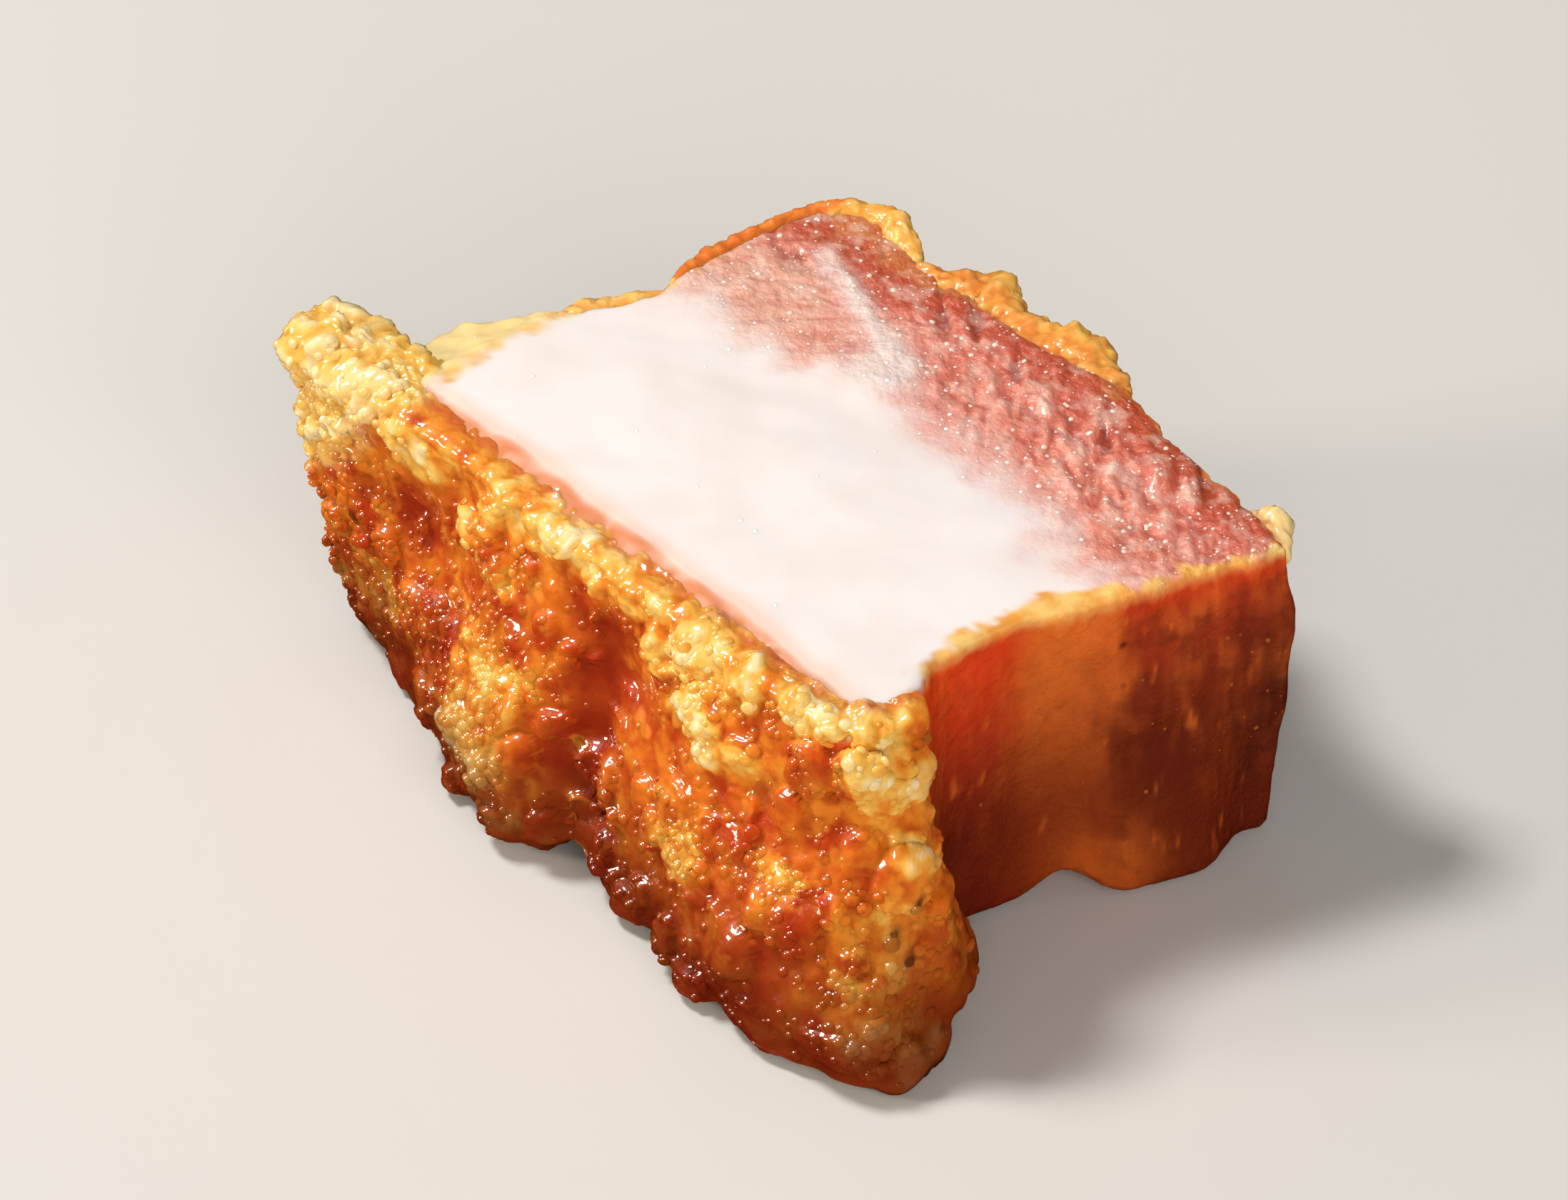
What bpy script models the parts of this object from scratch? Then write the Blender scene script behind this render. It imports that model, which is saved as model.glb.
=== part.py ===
"""Fried pork belly chunk, lying with its cut face up: a thick layer of white fat that
carries a puffed crackling along its front, and a layer of lean meat behind it.

X runs along the rind, Y from the rind to the lean, Z up from the underside.
Metres, origin on the board below the middle of the chunk."""
import itertools
import math
import random

import bmesh
import bpy
import numpy as np

# ---- driving dimensions (metres) ----
HEIGHT = 0.0270              # underside to cut face
FAT_LEFT = -0.0218           # fat's left side
SIDE_AT_ZERO = 0.0262        # right side, measured where y is 0
SIDE_LEAN = 0.256            # right side: x gained for each y, as the chunk widens to the back
FAT_FRONT = -0.0156          # fat's front, inside the crackling
LAYER_LINE = 0.0092          # where fat meets lean
LEAN_LEFT = -0.0195
LEAN_BACK = 0.0221
FAT_SINK = 0.0003            # the fat's edges lie this far below the cut
LEAN_SINK = 0.0005           # the lean shrinks below the fat
FAT_DOME = 0.0005            # rise of the fat's middle
LAYER_GAP = 0.0003
EDGE_ROUND = 0.0011

# terms of the outlines: a size, then where it acts. A span is where it sets in and is
# full, a place is its middle and half width.
SHRINK, SHRINK_AT = 0.0009, (0.0015, 0.0045)      # right side: hollow where the fat shrank
FLARE, FLARE_SPAN = 0.0020, (0.0030, 0.0080)      # its foot stands out below the lean
TUCK, CORNER_SPAN = 0.0031, (0.0130, 0.0205)      # but is tucked in at the back corner
SWELL, SWELL_AT = 0.0008, (0.65, 0.28)            # which swells at this height share
WING, WING_SPAN = 0.0042, (0.0045, 0.0115)        # front drawn out to the crackling
STEP_IN, STEP_SPAN = 0.0032, (-0.0020, 0.0085)    # left side: steps in toward the lean
WEB, WEB_SPAN = 0.0045, (-0.0040, 0.0060)         # web drawn out to the crackling's end
WEB_FOOT = 0.25                                   # share of the web left at the board
FAT_SPREAD, LEAN_SPREAD = 0.0008, 0.0007          # left side's foot stands out
WEB_SINK, WEB_EDGE = 0.0012, (0.0213, 0.0238)     # the web's top lies lower
LEAN_TURN, LEAN_TURN_SPAN = 0.0018, (0.0190, 0.0235)      # back left corner turned in
BACK_SWELLS = ((0.0014, 0.0100, 0.0050), (0.0008, -0.0160, 0.0040))   # outer side bulges
BACK_STEP, BACK_SPAN = 0.0012, (0.0200, 0.0320)   # and draws back at its right end
BACK_TUCK = 0.0010                                # and at its foot
LINE_LEFT = 0.0022                                # layer line: lies forward on the left
LINE_STEP, LINE_SPAN = 0.0031, (-0.0085, -0.0010)         # steps back by mid length
LINE_RETURN, RETURN_SPAN = 0.0011, (0.0140, 0.0210)       # and comes forward a little
LINE_WAVE, LINE_WAVE_LENGTH, LINE_TWIST = 0.0008, 0.030, 0.7      # waves toward the foot
DENT, DENT_SIZE, DENT_FLOOR = 0.0009, 0.0095, 0.0001      # hollows of the underside
NOTCH, NOTCH_X, NOTCH_Y = 0.0022, (0.0275, 0.0030), (0.0040, 0.0020)  # its open notch
FAT_ROUGH, FAT_ROUGH_SIZE = 0.00035, 0.0035       # uneven browned sides
LEAN_ROUGH, LEAN_ROUGH_SIZE = 0.0005, 0.0040
TORN, TORN_SIZE, TORN_STRETCH = 0.00055, 0.0020, (1.0, 0.45, 1.0)     # lean's torn fibres

RIND_LEFT_TOP = -0.0328      # the crackling runs on past the fat on the left
RIND_LEFT_FOOT = -0.0308
RIND_TOP_Y = -0.0176         # outer face at the cut
RIND_FOOT_LEFT_Y = -0.0156   # outer face at the board, left end
RIND_FLARE = 0.0068          # how much further out the foot is by mid length
RIND_TOP = 0.0266
RIND_INNER_Y = -0.0115       # flat inner face, mostly sunk in the fat
RIND_FLAP = 0.0014           # the left end is thinner by this at the cut
RIND_CORE = 0.0018           # radius of the inner face where it turns the corner
CORNER_TOP = (0.0215, -0.0095, 0.0080)    # right corner at the cut: centre x, y, radius
CORNER_FOOT = (0.0240, -0.0132, 0.0104)   # and at the board
CORNER_TURN = 88.0           # degrees turned at the cut
CORNER_TURN_FOOT = 42.0      # more degrees at the board, where the wing stands out
STRAIGHT_SHARE = 0.80        # share of the strip's length before the corner
FLARE_ALONG = (-0.0310, -0.0010)          # the foot's flare sets in along the skin
FOOT_BULGE, FOOT_BULGE_AT = 0.0008, (0.0090, 0.0040)
BELLY = 0.0008               # the outer face's bow between cut and board
INTO_CORNER = (0.0120, 0.0215)            # where the straight part bends to the corner
CORNER_BULGE, CORNER_BULGE_AT = 0.0018, (math.radians(50), 0.40)      # at the wing's foot
FLAP_SPAN = (0.0230, 0.0330)
END_LIFT, END_SPAN = 0.0040, (0.90, 1.0)  # right end stands clear of the board
ARCH, ARCH_AT = 0.0018, (0.0018, 0.0016)  # so does the foot below the deep fold
FLAP_LIFT, FLAP_LIFT_SPAN = 0.0010, (0.0200, 0.0300)
FLAP_RISE, FLAP_RISE_AT = 0.0005, (-0.0300, 0.0040)       # left end's top is higher

# folds of the crackling: run along it, height, half widths of both, rise (metres)
FOLDS = (
    (-0.0155, 0.0170, 0.0060, 0.0050, -0.0016),
    (-0.0075, 0.0060, 0.0070, 0.0055, 0.0017),
    (-0.0040, 0.0190, 0.0055, 0.0040, 0.0008),
    (0.0030, 0.0070, 0.0024, 0.0085, -0.0024),
    (0.0055, 0.0180, 0.0040, 0.0040, -0.0010),
    (0.0170, 0.0220, 0.0060, 0.0028, 0.0010),
    (0.0225, 0.0090, 0.0085, 0.0080, 0.0014),
    (0.0335, 0.0040, 0.0030, 0.0050, 0.0012),
)
BUBBLE = 0.0037              # size of the larger blisters
BUBBLE_RISE = 0.55
CALM_SHARE, CALM_SIZE, CALM_SPAN = 0.35, 0.0080, (-0.3, 0.3)      # calmer stretches
SKIN_ROUGH, SKIN_ROUGH_SIZE = 0.0006, 0.0050
RIM_CALM, RIM_SPAN = 0.45, (0.90, 1.0)    # blisters are lower at the rim
SPONGE, SPONGE_SPAN = 0.30, (0.0200, 0.0250)              # left end's puffed inner face

# puffed lumps on the crackling: share along it, height share, radius
LUMPS = (
    (0.020, 0.93, 0.0026), (0.050, 0.97, 0.0024), (0.085, 0.93, 0.0020),
    (0.600, 0.85, 0.0022), (0.650, 0.90, 0.0027), (0.680, 0.81, 0.0023),
    (0.735, 0.94, 0.0021), (0.900, 0.89, 0.0020), (0.955, 0.80, 0.0021),
    (0.950, 0.60, 0.0019), (0.300, 0.80, 0.0018), (0.985, 0.30, 0.0018),
)
LUMP_SINK = 0.62             # share of its radius that a lump sits in the skin
RIM_LUMPS, RIM_LUMP_HEIGHT = 7, 0.94      # smaller ones along the rim, at this height share
RIM_LUMPS_FROM, RIM_LUMPS_LENGTH = 0.12, 0.62     # shares along the skin
RIM_LUMP_RADIUS = (0.0012, 0.0017)
LUMP_UNEVEN, LUMP_GRAIN = 0.35, 0.9       # a lump's skin: noise and its size on the unit ball

# crisp golden crust on the lean's upper back edge: x, reach past it, height below the
# cut, half sizes. Three flat pieces make the ledge, the others stand alone.
CRUMBS = (
    (-0.0148, 0.0006, 0.0007, (0.0030, 0.0018, 0.0012)),
    (-0.0112, 0.0000, 0.0006, (0.0018, 0.0014, 0.0010)),
    (-0.0042, 0.0008, 0.0016, (0.0026, 0.0026, 0.0011)),
    (0.0010, 0.0002, 0.0022, (0.0034, 0.0020, 0.0010)),
    (0.0058, 0.0010, 0.0016, (0.0028, 0.0024, 0.0012)),
    (0.0286, 0.0014, 0.0024, (0.0011, 0.0024, 0.0016)),
)

ORIGIN = (0.0004, 0.0006)    # middle of the chunk's box in the coordinates above

SEED = 11


# ---- fields ----
def lattice(cell, seed):
    """Value from 0 to 1 for each whole-number lattice point: its coordinates are hashed."""
    n = cell[..., 0] * 374761393 + cell[..., 1] * 668265263 + cell[..., 2] * 1440670441
    n = (n + seed * 974634777) & 0xFFFFFFFF
    n = ((n ^ (n >> 13)) * 1274126177) & 0xFFFFFFFF
    return ((n ^ (n >> 16)) & 0xFFFFFF) / 0xFFFFFF


def noise(points, size, seed):
    """Smooth noise from -1 to 1: lattice values blended over cells of the given size."""
    place = points / size
    cell = np.floor(place).astype(np.int64)
    f = place - cell
    f = f ** 3 * (f * (f * 6 - 15) + 10)
    total = 0.0
    for corner in itertools.product((0, 1), repeat=3):
        weight = np.where(corner, f, 1 - f).prod(-1)
        total = total + weight * lattice(cell + corner, seed)
    return 2 * total - 1


def blisters(points, size, seed):
    """Height of a crowd of balls, one at a random place in each cell: the highest wins."""
    place = points / size
    cell = np.floor(place).astype(np.int64)
    best = np.zeros(len(points))
    for step in itertools.product((-1, 0, 1), repeat=3):
        home = cell + step
        centre = home + np.stack([lattice(home, seed + k) for k in range(3)], -1)
        radius = 0.30 + 0.40 * lattice(home, seed + 3)
        rest = radius ** 2 - ((place - centre) ** 2).sum(-1)
        best = np.maximum(best, np.sqrt(np.clip(rest, 0, None)))
    return best * size


def ease(x, start, end):
    """0 before start, 1 after end, smooth between."""
    t = np.clip((x - start) / (end - start), 0, 1)
    return t * t * (3 - 2 * t)


def bump(x, centre, half):
    """Bell of height 1 round the centre."""
    return np.exp(-((x - centre) / half) ** 2)


# ---- outlines of the meat ----
def right_side(y, h):
    """Right side: a straight line that widens to the back, hollow where the fat shrank,
    flared at the foot of the lean, tucked in at the back corner's foot and drawn out to
    the crackling at the front."""
    corner = ease(y, *CORNER_SPAN)
    x = SIDE_AT_ZERO + SIDE_LEAN * y - SHRINK * bump(y, *SHRINK_AT)
    x = x + (1 - h) ** 2 * (FLARE * ease(y, *FLARE_SPAN) - TUCK * corner)
    return x + SWELL * corner * bump(h, *SWELL_AT) + WING * ease(-y, *WING_SPAN)


def left_side(y, h):
    """Left side: upright, with the golden web that joins it to the end of the crackling."""
    web = ease(-y, *WEB_SPAN) * (WEB_FOOT + (1 - WEB_FOOT) * h ** 1.5)
    return FAT_LEFT + STEP_IN * ease(y, *STEP_SPAN) - WEB * web - FAT_SPREAD * (1 - h)


def back_side(x, h):
    """Outer side of the lean: two swellings, tucked in a little at the foot."""
    y = LEAN_BACK + sum(size * bump(x, *at) for size, *at in BACK_SWELLS)
    return y - BACK_STEP * ease(x, *BACK_SPAN) - BACK_TUCK * (1 - h) ** 2


def layer_line(x, h):
    """Line between fat and lean, seen from above: it steps back by mid length."""
    y = LAYER_LINE - LINE_LEFT + LINE_STEP * ease(x, *LINE_SPAN)
    y = y - LINE_RETURN * ease(x, *RETURN_SPAN)
    wave = np.sin(2 * np.pi * (x / LINE_WAVE_LENGTH + h * LINE_TWIST))
    return y + LINE_WAVE * wave * (1 - h)


def underside(x, y):
    """Lower face: shallow hollows between flat places that touch the board."""
    level = np.stack([x, y, np.zeros_like(x)], -1)
    hollow = DENT * noise(level, DENT_SIZE, SEED + 20) - DENT_FLOOR
    return np.clip(hollow, 0, None) + NOTCH * bump(x, *NOTCH_X) * bump(y, *NOTCH_Y)


# ---- making blocks ----
def new_object(name, mesh, collection):
    mesh.name = name
    item = bpy.data.objects.new(name, mesh)
    collection.objects.link(item)
    return item


def block(name, size, cuts, shape, collection, butt=0):
    """Cube primitive of the given size, cut into cuts cells along each axis, with its edges
    rounded; shape(u, v, w) then places every point from its share along each axis. The end
    along Y that butt gives, -1 or 1, meets the neighbouring layer and keeps sharp edges."""
    bm = bmesh.new()
    bmesh.ops.create_cube(bm, size=1.0)
    for axis in range(3):
        along = [e for e in bm.edges
                 if abs(e.verts[0].co[axis] - e.verts[1].co[axis]) > 0.5]
        bmesh.ops.subdivide_edges(bm, edges=along, cuts=cuts[axis] - 1, use_grid_fill=True)
    place = np.array([v.co for v in bm.verts]) * size
    low = EDGE_ROUND - np.array(size) / 2
    high = -low
    low[1] -= EDGE_ROUND * (butt < 0)
    high[1] += EDGE_ROUND * (butt > 0)
    core = np.clip(place, low, high)
    out = place - core
    reach = np.linalg.norm(out, axis=1, keepdims=True)
    place = core + out * EDGE_ROUND / np.maximum(reach, EDGE_ROUND)
    share = place / size + 0.5
    for vert, co in zip(bm.verts, shape(*share.T)):
        vert.co = co
    bmesh.ops.recalc_face_normals(bm, faces=bm.faces)
    mesh = bpy.data.meshes.new(name)
    bm.to_mesh(mesh)
    bm.free()
    return new_object(name, mesh, collection)


def material(name, colour, roughness):
    mat = bpy.data.materials.new(name)
    mat.use_nodes = True
    shader = mat.node_tree.nodes["Principled BSDF"]
    shader.inputs["Base Color"].default_value = (*colour, 1.0)
    shader.inputs["Roughness"].default_value = roughness
    shader.inputs["Metallic"].default_value = 0.0
    return mat


# ---- fat ----
def fat_shape(u, v, w):
    """Between the crackling and the lean: left to right, front to layer line, board to cut."""
    y = FAT_FRONT + v * (LAYER_LINE - FAT_FRONT)
    left = left_side(y, w)
    x = left + u * (right_side(y, w) - left)
    y = FAT_FRONT + v * (layer_line(x, w) - LAYER_GAP / 2 - FAT_FRONT)
    dome = FAT_DOME * np.sin(np.pi * np.clip(u, 0, 1))
    top = HEIGHT - FAT_SINK + dome - WEB_SINK * ease(-x, *WEB_EDGE)
    low = underside(x, y)
    z = low + w * (top - low)
    uneven = FAT_ROUGH * noise(np.stack([x, y, z], -1), FAT_ROUGH_SIZE, SEED)
    uneven = uneven * (1 - ease(w, 0.90, 1.0)) * (1 - ease(v, 0.85, 1.0))
    return np.stack([x + uneven * np.sign(u - 0.5), y, z], -1)


# ---- lean ----
def lean_shape(u, v, w):
    """Behind the fat: from the layer line to the back, torn short fibres on the cut face."""
    y = LAYER_LINE + v * (LEAN_BACK - LAYER_LINE)
    left = LEAN_LEFT + LEAN_TURN * ease(y, *LEAN_TURN_SPAN) - LEAN_SPREAD * (1 - w)
    x = left + u * (right_side(y, w) - left)
    line = layer_line(x, w) + LAYER_GAP / 2
    y = line + v * (back_side(x, w) - line)
    top = HEIGHT - LEAN_SINK * ease(v, 0.0, 0.25)
    low = underside(x, y)
    z = low + w * (top - low)
    p = np.stack([x, y, z], -1)
    torn = TORN * noise(p * TORN_STRETCH, TORN_SIZE, SEED + 1) * ease(v, 0.0, 0.2)
    uneven = LEAN_ROUGH * noise(p, LEAN_ROUGH_SIZE, SEED + 2)
    outer = np.sign(u - 0.5) * (np.abs(u - 0.5) > 0.4) * ease(v, 0.0, 0.15)
    return np.stack([x + uneven * outer, y + uneven * ease(v, 0.8, 1.0),
                     z + torn * ease(w, 0.8, 1.0)], -1)


# ---- crackling ----
def rind_fold(run, z):
    """Broad folds of the skin: the sum of the named swellings and hollows."""
    return sum(rise * bump(run, at, wide) * bump(z, up, tall)
               for at, up, wide, tall, rise in FOLDS)


def rind_path(s, h):
    """Outer line of the skin at height share h: nearly straight to the right corner, then
    an arc round it. Gives the place, the inner face behind it, the way out of the
    skin and the run along it."""
    foot = 1 - ease(h, 0.0, 1.0)
    start = RIND_LEFT_TOP + (RIND_LEFT_FOOT - RIND_LEFT_TOP) * (1 - h)
    centre_x, centre_y, radius = (
        top + (low - top) * foot for top, low in zip(CORNER_TOP, CORNER_FOOT))
    x = start + np.clip(s / STRAIGHT_SHARE, 0, 1) * (centre_x - start)
    low_y = RIND_FOOT_LEFT_Y - RIND_FLARE * ease(x, *FLARE_ALONG)
    low_y = low_y + FOOT_BULGE * bump(x, *FOOT_BULGE_AT)
    y = RIND_TOP_Y + (low_y - RIND_TOP_Y) * foot - BELLY * np.sin(np.pi * h)
    y = y + (centre_y - radius - y) * ease(x, *INTO_CORNER)
    turn = np.radians(CORNER_TURN + CORNER_TURN_FOOT * (1 - h) ** 3)
    angle = turn * np.clip((s - STRAIGHT_SHARE) / (1 - STRAIGHT_SHARE), 0, 1)
    radius = radius + CORNER_BULGE * bump(angle, *CORNER_BULGE_AT) * (1 - h) ** 4
    on_arc = s > STRAIGHT_SHARE
    x = np.where(on_arc, centre_x + radius * np.sin(angle), x)
    y = np.where(on_arc, centre_y - radius * np.cos(angle), y)
    run = np.where(on_arc, centre_x + radius * angle, x)
    out = np.stack([np.sin(angle), -np.cos(angle), np.zeros_like(s)], -1)
    inner_x = np.where(on_arc, centre_x + RIND_CORE * np.sin(angle), x)
    inner_y = RIND_INNER_Y + RIND_CORE * (1 - np.cos(angle))
    inner_y = inner_y - RIND_FLAP * ease(-x, *FLAP_SPAN) * h
    return np.stack([x, y], -1), np.stack([inner_x, inner_y], -1), out, run


def rind_shape(u, w, h):
    """The puffed skin: the inner face is a plane in the fat, the outer face follows the
    skin's line, pushed out by its folds and blisters. w runs from inner to outer."""
    outer, inner, out, run = rind_path(u, h)
    lift = END_LIFT * ease(u, *END_SPAN) + ARCH * bump(run, *ARCH_AT)
    lift = lift + FLAP_LIFT * ease(-run, *FLAP_LIFT_SPAN)
    z = lift + h * (RIND_TOP + FLAP_RISE * bump(run, *FLAP_RISE_AT) - lift)
    p = np.concatenate([outer, z[:, None]], -1)
    crowd = CALM_SHARE + (1 - CALM_SHARE) * ease(noise(p, CALM_SIZE, SEED + 8), *CALM_SPAN)
    rise = rind_fold(run, z) + BUBBLE_RISE * crowd * blisters(p, BUBBLE, SEED + 5)
    rise = rise + SKIN_ROUGH * noise(p, SKIN_ROUGH_SIZE, SEED + 6)
    rise = rise * (1 - RIM_CALM * ease(h, *RIM_SPAN))
    inner = np.concatenate([inner, z[:, None]], -1)
    inner[:, 1] += SPONGE * ease(-run, *SPONGE_SPAN) * blisters(inner, BUBBLE, SEED + 9)
    return inner + w[:, None] * (p + out * rise[:, None] - inner)


def rind_lumps(collection):
    """The named lumps, and a row of small ones along the rim at seeded places."""
    draw = random.Random(SEED)
    places = list(LUMPS)
    for i in range(RIM_LUMPS):
        share = (i + 0.5 + draw.uniform(-0.3, 0.3)) / RIM_LUMPS
        share = share * RIM_LUMPS_LENGTH + RIM_LUMPS_FROM
        places.append((share, RIM_LUMP_HEIGHT, draw.uniform(*RIM_LUMP_RADIUS)))
    for i, (along, up, radius) in enumerate(places):
        at = np.array([[along], [1.0], [up]])
        way = rind_path(at[0], at[2])[2][0]
        spot = rind_shape(*at)[0] - way * radius * LUMP_SINK
        lump(f"lump_{i}", spot, (radius,) * 3, SEED + 30 + i, collection)


def lean_crumbs(collection):
    """Crumbs of crisp crust that stand out behind the lean's upper back edge."""
    for i, (x, reach, below, half) in enumerate(CRUMBS):
        edge = back_side(np.array([x]), np.array([1.0]))[0]
        spot = (x, edge + reach, HEIGHT - below)
        lump(f"crumb_{i}", spot, half, SEED + 50 + i, collection)


# ---- build ----
def clear_scene():
    for item in list(bpy.data.objects):
        bpy.data.objects.remove(item, do_unlink=True)


def lump(name, place, half, seed, collection):
    """A puffed lump: an icosphere of the given half sizes with an uneven skin."""
    bm = bmesh.new()
    bmesh.ops.create_icosphere(bm, subdivisions=2, radius=1.0)
    co = np.array([v.co for v in bm.verts])
    co = co * (1 + LUMP_UNEVEN * noise(co + 3.0, LUMP_GRAIN, seed))[:, None] * half
    for vert, c in zip(bm.verts, co + place):
        vert.co = c
    mesh = bpy.data.meshes.new(name)
    bm.to_mesh(mesh)
    bm.free()
    return new_object(name, mesh, collection)


def fuse(target, extras):
    """Join everything in the extras collection to the target, then remove it."""
    union = target.modifiers.new("union", "BOOLEAN")
    union.operation = "UNION"
    union.operand_type = "COLLECTION"
    union.collection = extras
    union.solver = "EXACT"
    depsgraph = bpy.context.evaluated_depsgraph_get()
    joined = bpy.data.meshes.new_from_object(target.evaluated_get(depsgraph))
    target.modifiers.clear()
    old = target.data
    target.data = joined
    joined.name = target.name
    bpy.data.meshes.remove(old)
    for item in list(extras.objects):
        bpy.data.objects.remove(item, do_unlink=True)
    bpy.data.collections.remove(extras)


def new_collection(name):
    collection = bpy.data.collections.new(name)
    bpy.context.scene.collection.children.link(collection)
    return collection


def main():
    clear_scene()
    chunk = new_collection("fried_pork_belly_chunk")
    fat = block("fat_with_crackling", (0.048, 0.025, HEIGHT), (26, 13, 12), fat_shape,
                chunk, butt=1)
    skin = new_collection("crackling_pieces")
    block("rind", (0.075, 0.008, HEIGHT), (60, 2, 22), rind_shape, skin)
    rind_lumps(skin)
    fuse(fat, skin)
    fat.data.materials.clear()
    fat.data.materials.append(material("golden crackling", (0.62, 0.24, 0.05), 0.35))

    lean = block("lean_meat", (0.050, 0.013, HEIGHT), (26, 8, 12), lean_shape,
                 chunk, butt=-1)
    crust = new_collection("crust_crumbs")
    lean_crumbs(crust)
    fuse(lean, crust)
    lean.data.materials.clear()
    lean.data.materials.append(material("fried lean", (0.50, 0.16, 0.13), 0.45))

    for item in (fat, lean):
        item.location = (-ORIGIN[0], -ORIGIN[1], 0)


main()
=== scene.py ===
"""Looks of a fried pork belly chunk that lies with its cut face up. X runs along the rind,
Y from the rind to the lean, Z up from the board. Metres."""

import itertools
import math

import bpy
import numpy as np
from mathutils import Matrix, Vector


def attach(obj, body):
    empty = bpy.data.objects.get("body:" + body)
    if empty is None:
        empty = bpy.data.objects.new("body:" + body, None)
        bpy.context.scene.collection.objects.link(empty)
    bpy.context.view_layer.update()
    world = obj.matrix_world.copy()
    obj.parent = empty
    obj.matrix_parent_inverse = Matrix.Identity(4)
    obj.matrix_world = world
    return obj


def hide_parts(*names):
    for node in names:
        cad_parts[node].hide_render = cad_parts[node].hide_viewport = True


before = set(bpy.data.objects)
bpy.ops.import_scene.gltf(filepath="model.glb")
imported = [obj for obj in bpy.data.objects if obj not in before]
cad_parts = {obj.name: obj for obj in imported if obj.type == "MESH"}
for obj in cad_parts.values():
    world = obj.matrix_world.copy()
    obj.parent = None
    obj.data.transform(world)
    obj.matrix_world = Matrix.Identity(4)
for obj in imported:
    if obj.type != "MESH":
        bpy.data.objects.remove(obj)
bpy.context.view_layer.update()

# ---- fat and lean ----
# The meat is one piece: a thick layer of white fat that passes without a seam into pink
# lean muscle. The knife bared its top; its sides and underside were browned in hot oil.
# The right side also carries painted light: a glow at its top and painted shade toward the board.
MIDDLE = np.array([0.0004, 0.0006, 0.0])  # middle of the chunk's box as laid out below
HEIGHT = 0.0270  # board to cut face
FAT_LEFT, FAT_FRONT = -0.0218, -0.0156
LAYER_LINE = 0.0092  # where fat meets lean
LEAN_LEFT, LEAN_BACK = -0.0195, 0.0221
SIDE_AT_ZERO, SIDE_LEAN = 0.0262, 0.256  # right side where y is 0, x gained for each y
FAT_SINK, LEAN_SINK, FAT_DOME = 0.0003, 0.0005, 0.0005  # below the cut, and the fat's rise
EDGE_ROUND = 0.0011
SEED = 11
# terms of the outlines: a size, then where it acts. A span is where it sets in and is full,
# a place is its middle and half width.
SHRINK, SHRINK_AT = 0.0009, (0.0015, 0.0045)  # right side: hollow where fat shrank
FLARE, FLARE_SPAN = 0.0020, (0.0030, 0.0080)  # its foot stands out below the lean
TUCK, CORNER_SPAN = 0.0031, (0.0130, 0.0205)  # but is tucked in at the back corner
SWELL, SWELL_AT = 0.0008, (0.65, 0.28)  # which swells at this height share
WING, WING_SPAN = 0.0042, (0.0045, 0.0115)  # front drawn out to the crackling
STEP_IN, STEP_SPAN = 0.0032, (-0.0020, 0.0085)  # left side: steps in toward the lean
WEB, WEB_SPAN, WEB_FOOT = 0.0045, (-0.0040, 0.0060), 0.25  # web to the crackling
WEB_SINK, WEB_EDGE = 0.0012, (-FAT_LEFT - 0.0005, -FAT_LEFT + 0.0020)  # its top lies lower
FAT_SPREAD, LEAN_SPREAD = 0.0008, 0.0007  # left side's foot stands out
LEFT_JOIN = (0.0070, 0.0095)  # in y: the fat's left side passes into the lean's
LEAN_TURN, LEAN_TURN_SPAN = 0.0018, (0.0190, 0.0235)  # back left corner turned in
BACK_SWELLS = ((0.0014, 0.0100, 0.0050), (0.0008, -0.0160, 0.0040))  # outer side bulges
BACK_STEP, BACK_SPAN, BACK_TUCK = 0.0012, (0.0200, 0.0320), 0.0010  # and draws back
LINE_LEFT, LINE_STEP, LINE_SPAN = 0.0022, 0.0031, (-0.0085, -0.0010)  # layer line steps back
LINE_RETURN, RETURN_SPAN = 0.0011, (0.0140, 0.0210)  # and comes forward a little
LINE_WAVE, LINE_WAVE_LENGTH, LINE_TWIST = 0.0008, 0.030, 0.7
DENT, DENT_SIZE, DENT_FLOOR = 0.0009, 0.0095, 0.0001  # hollows of the underside
NOTCH, NOTCH_X, NOTCH_Y = 0.0022, (0.0275, 0.0030), (0.0040, 0.0020)  # one at the right
LIP, LIP_SPAN = 0.0014, (0.86, 1.0)  # fat's front edge reaches the rind
DIP, DIP_UNEVEN, DIP_SPAN = 0.0009, 0.0005, (0.0135, 0.0172)  # and shrank along it


def lattice(cell, seed):
    """Value from 0 to 1 for each whole-number lattice point: its coordinates are hashed."""
    n = cell[..., 0] * 374761393 + cell[..., 1] * 668265263 + cell[..., 2] * 1440670441
    n = (n + seed * 974634777) & 0xFFFFFFFF
    n = ((n ^ (n >> 13)) * 1274126177) & 0xFFFFFFFF
    return ((n ^ (n >> 16)) & 0xFFFFFF) / 0xFFFFFF


def noise(points, size, seed):
    """Smooth noise from -1 to 1: lattice values blended over cells of the given size."""
    place = points / size
    cell = np.floor(place).astype(np.int64)
    f = place - cell
    f = f ** 3 * (f * (f * 6 - 15) + 10)
    total = 0.0
    for corner in itertools.product((0, 1), repeat=3):
        weight = np.where(corner, f, 1 - f).prod(-1)
        total = total + weight * lattice(cell + corner, seed)
    return 2 * total - 1


def swells(points, size, seed):
    """Noise from -1 to 1 whose slope, not its height, is drawn for each lattice point."""
    place = points / size
    cell = np.floor(place).astype(np.int64)
    f = place - cell
    soft = f ** 3 * (f * (f * 6 - 15) + 10)
    total = 0.0
    for corner in itertools.product((0, 1), repeat=3):
        home = cell + corner
        slope = 2 * np.stack([lattice(home, seed + k) for k in range(3)], -1) - 1
        weight = np.where(corner, soft, 1 - soft).prod(-1)
        total = total + weight * (slope * (f - corner)).sum(-1)
    return 1.6 * total


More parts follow.
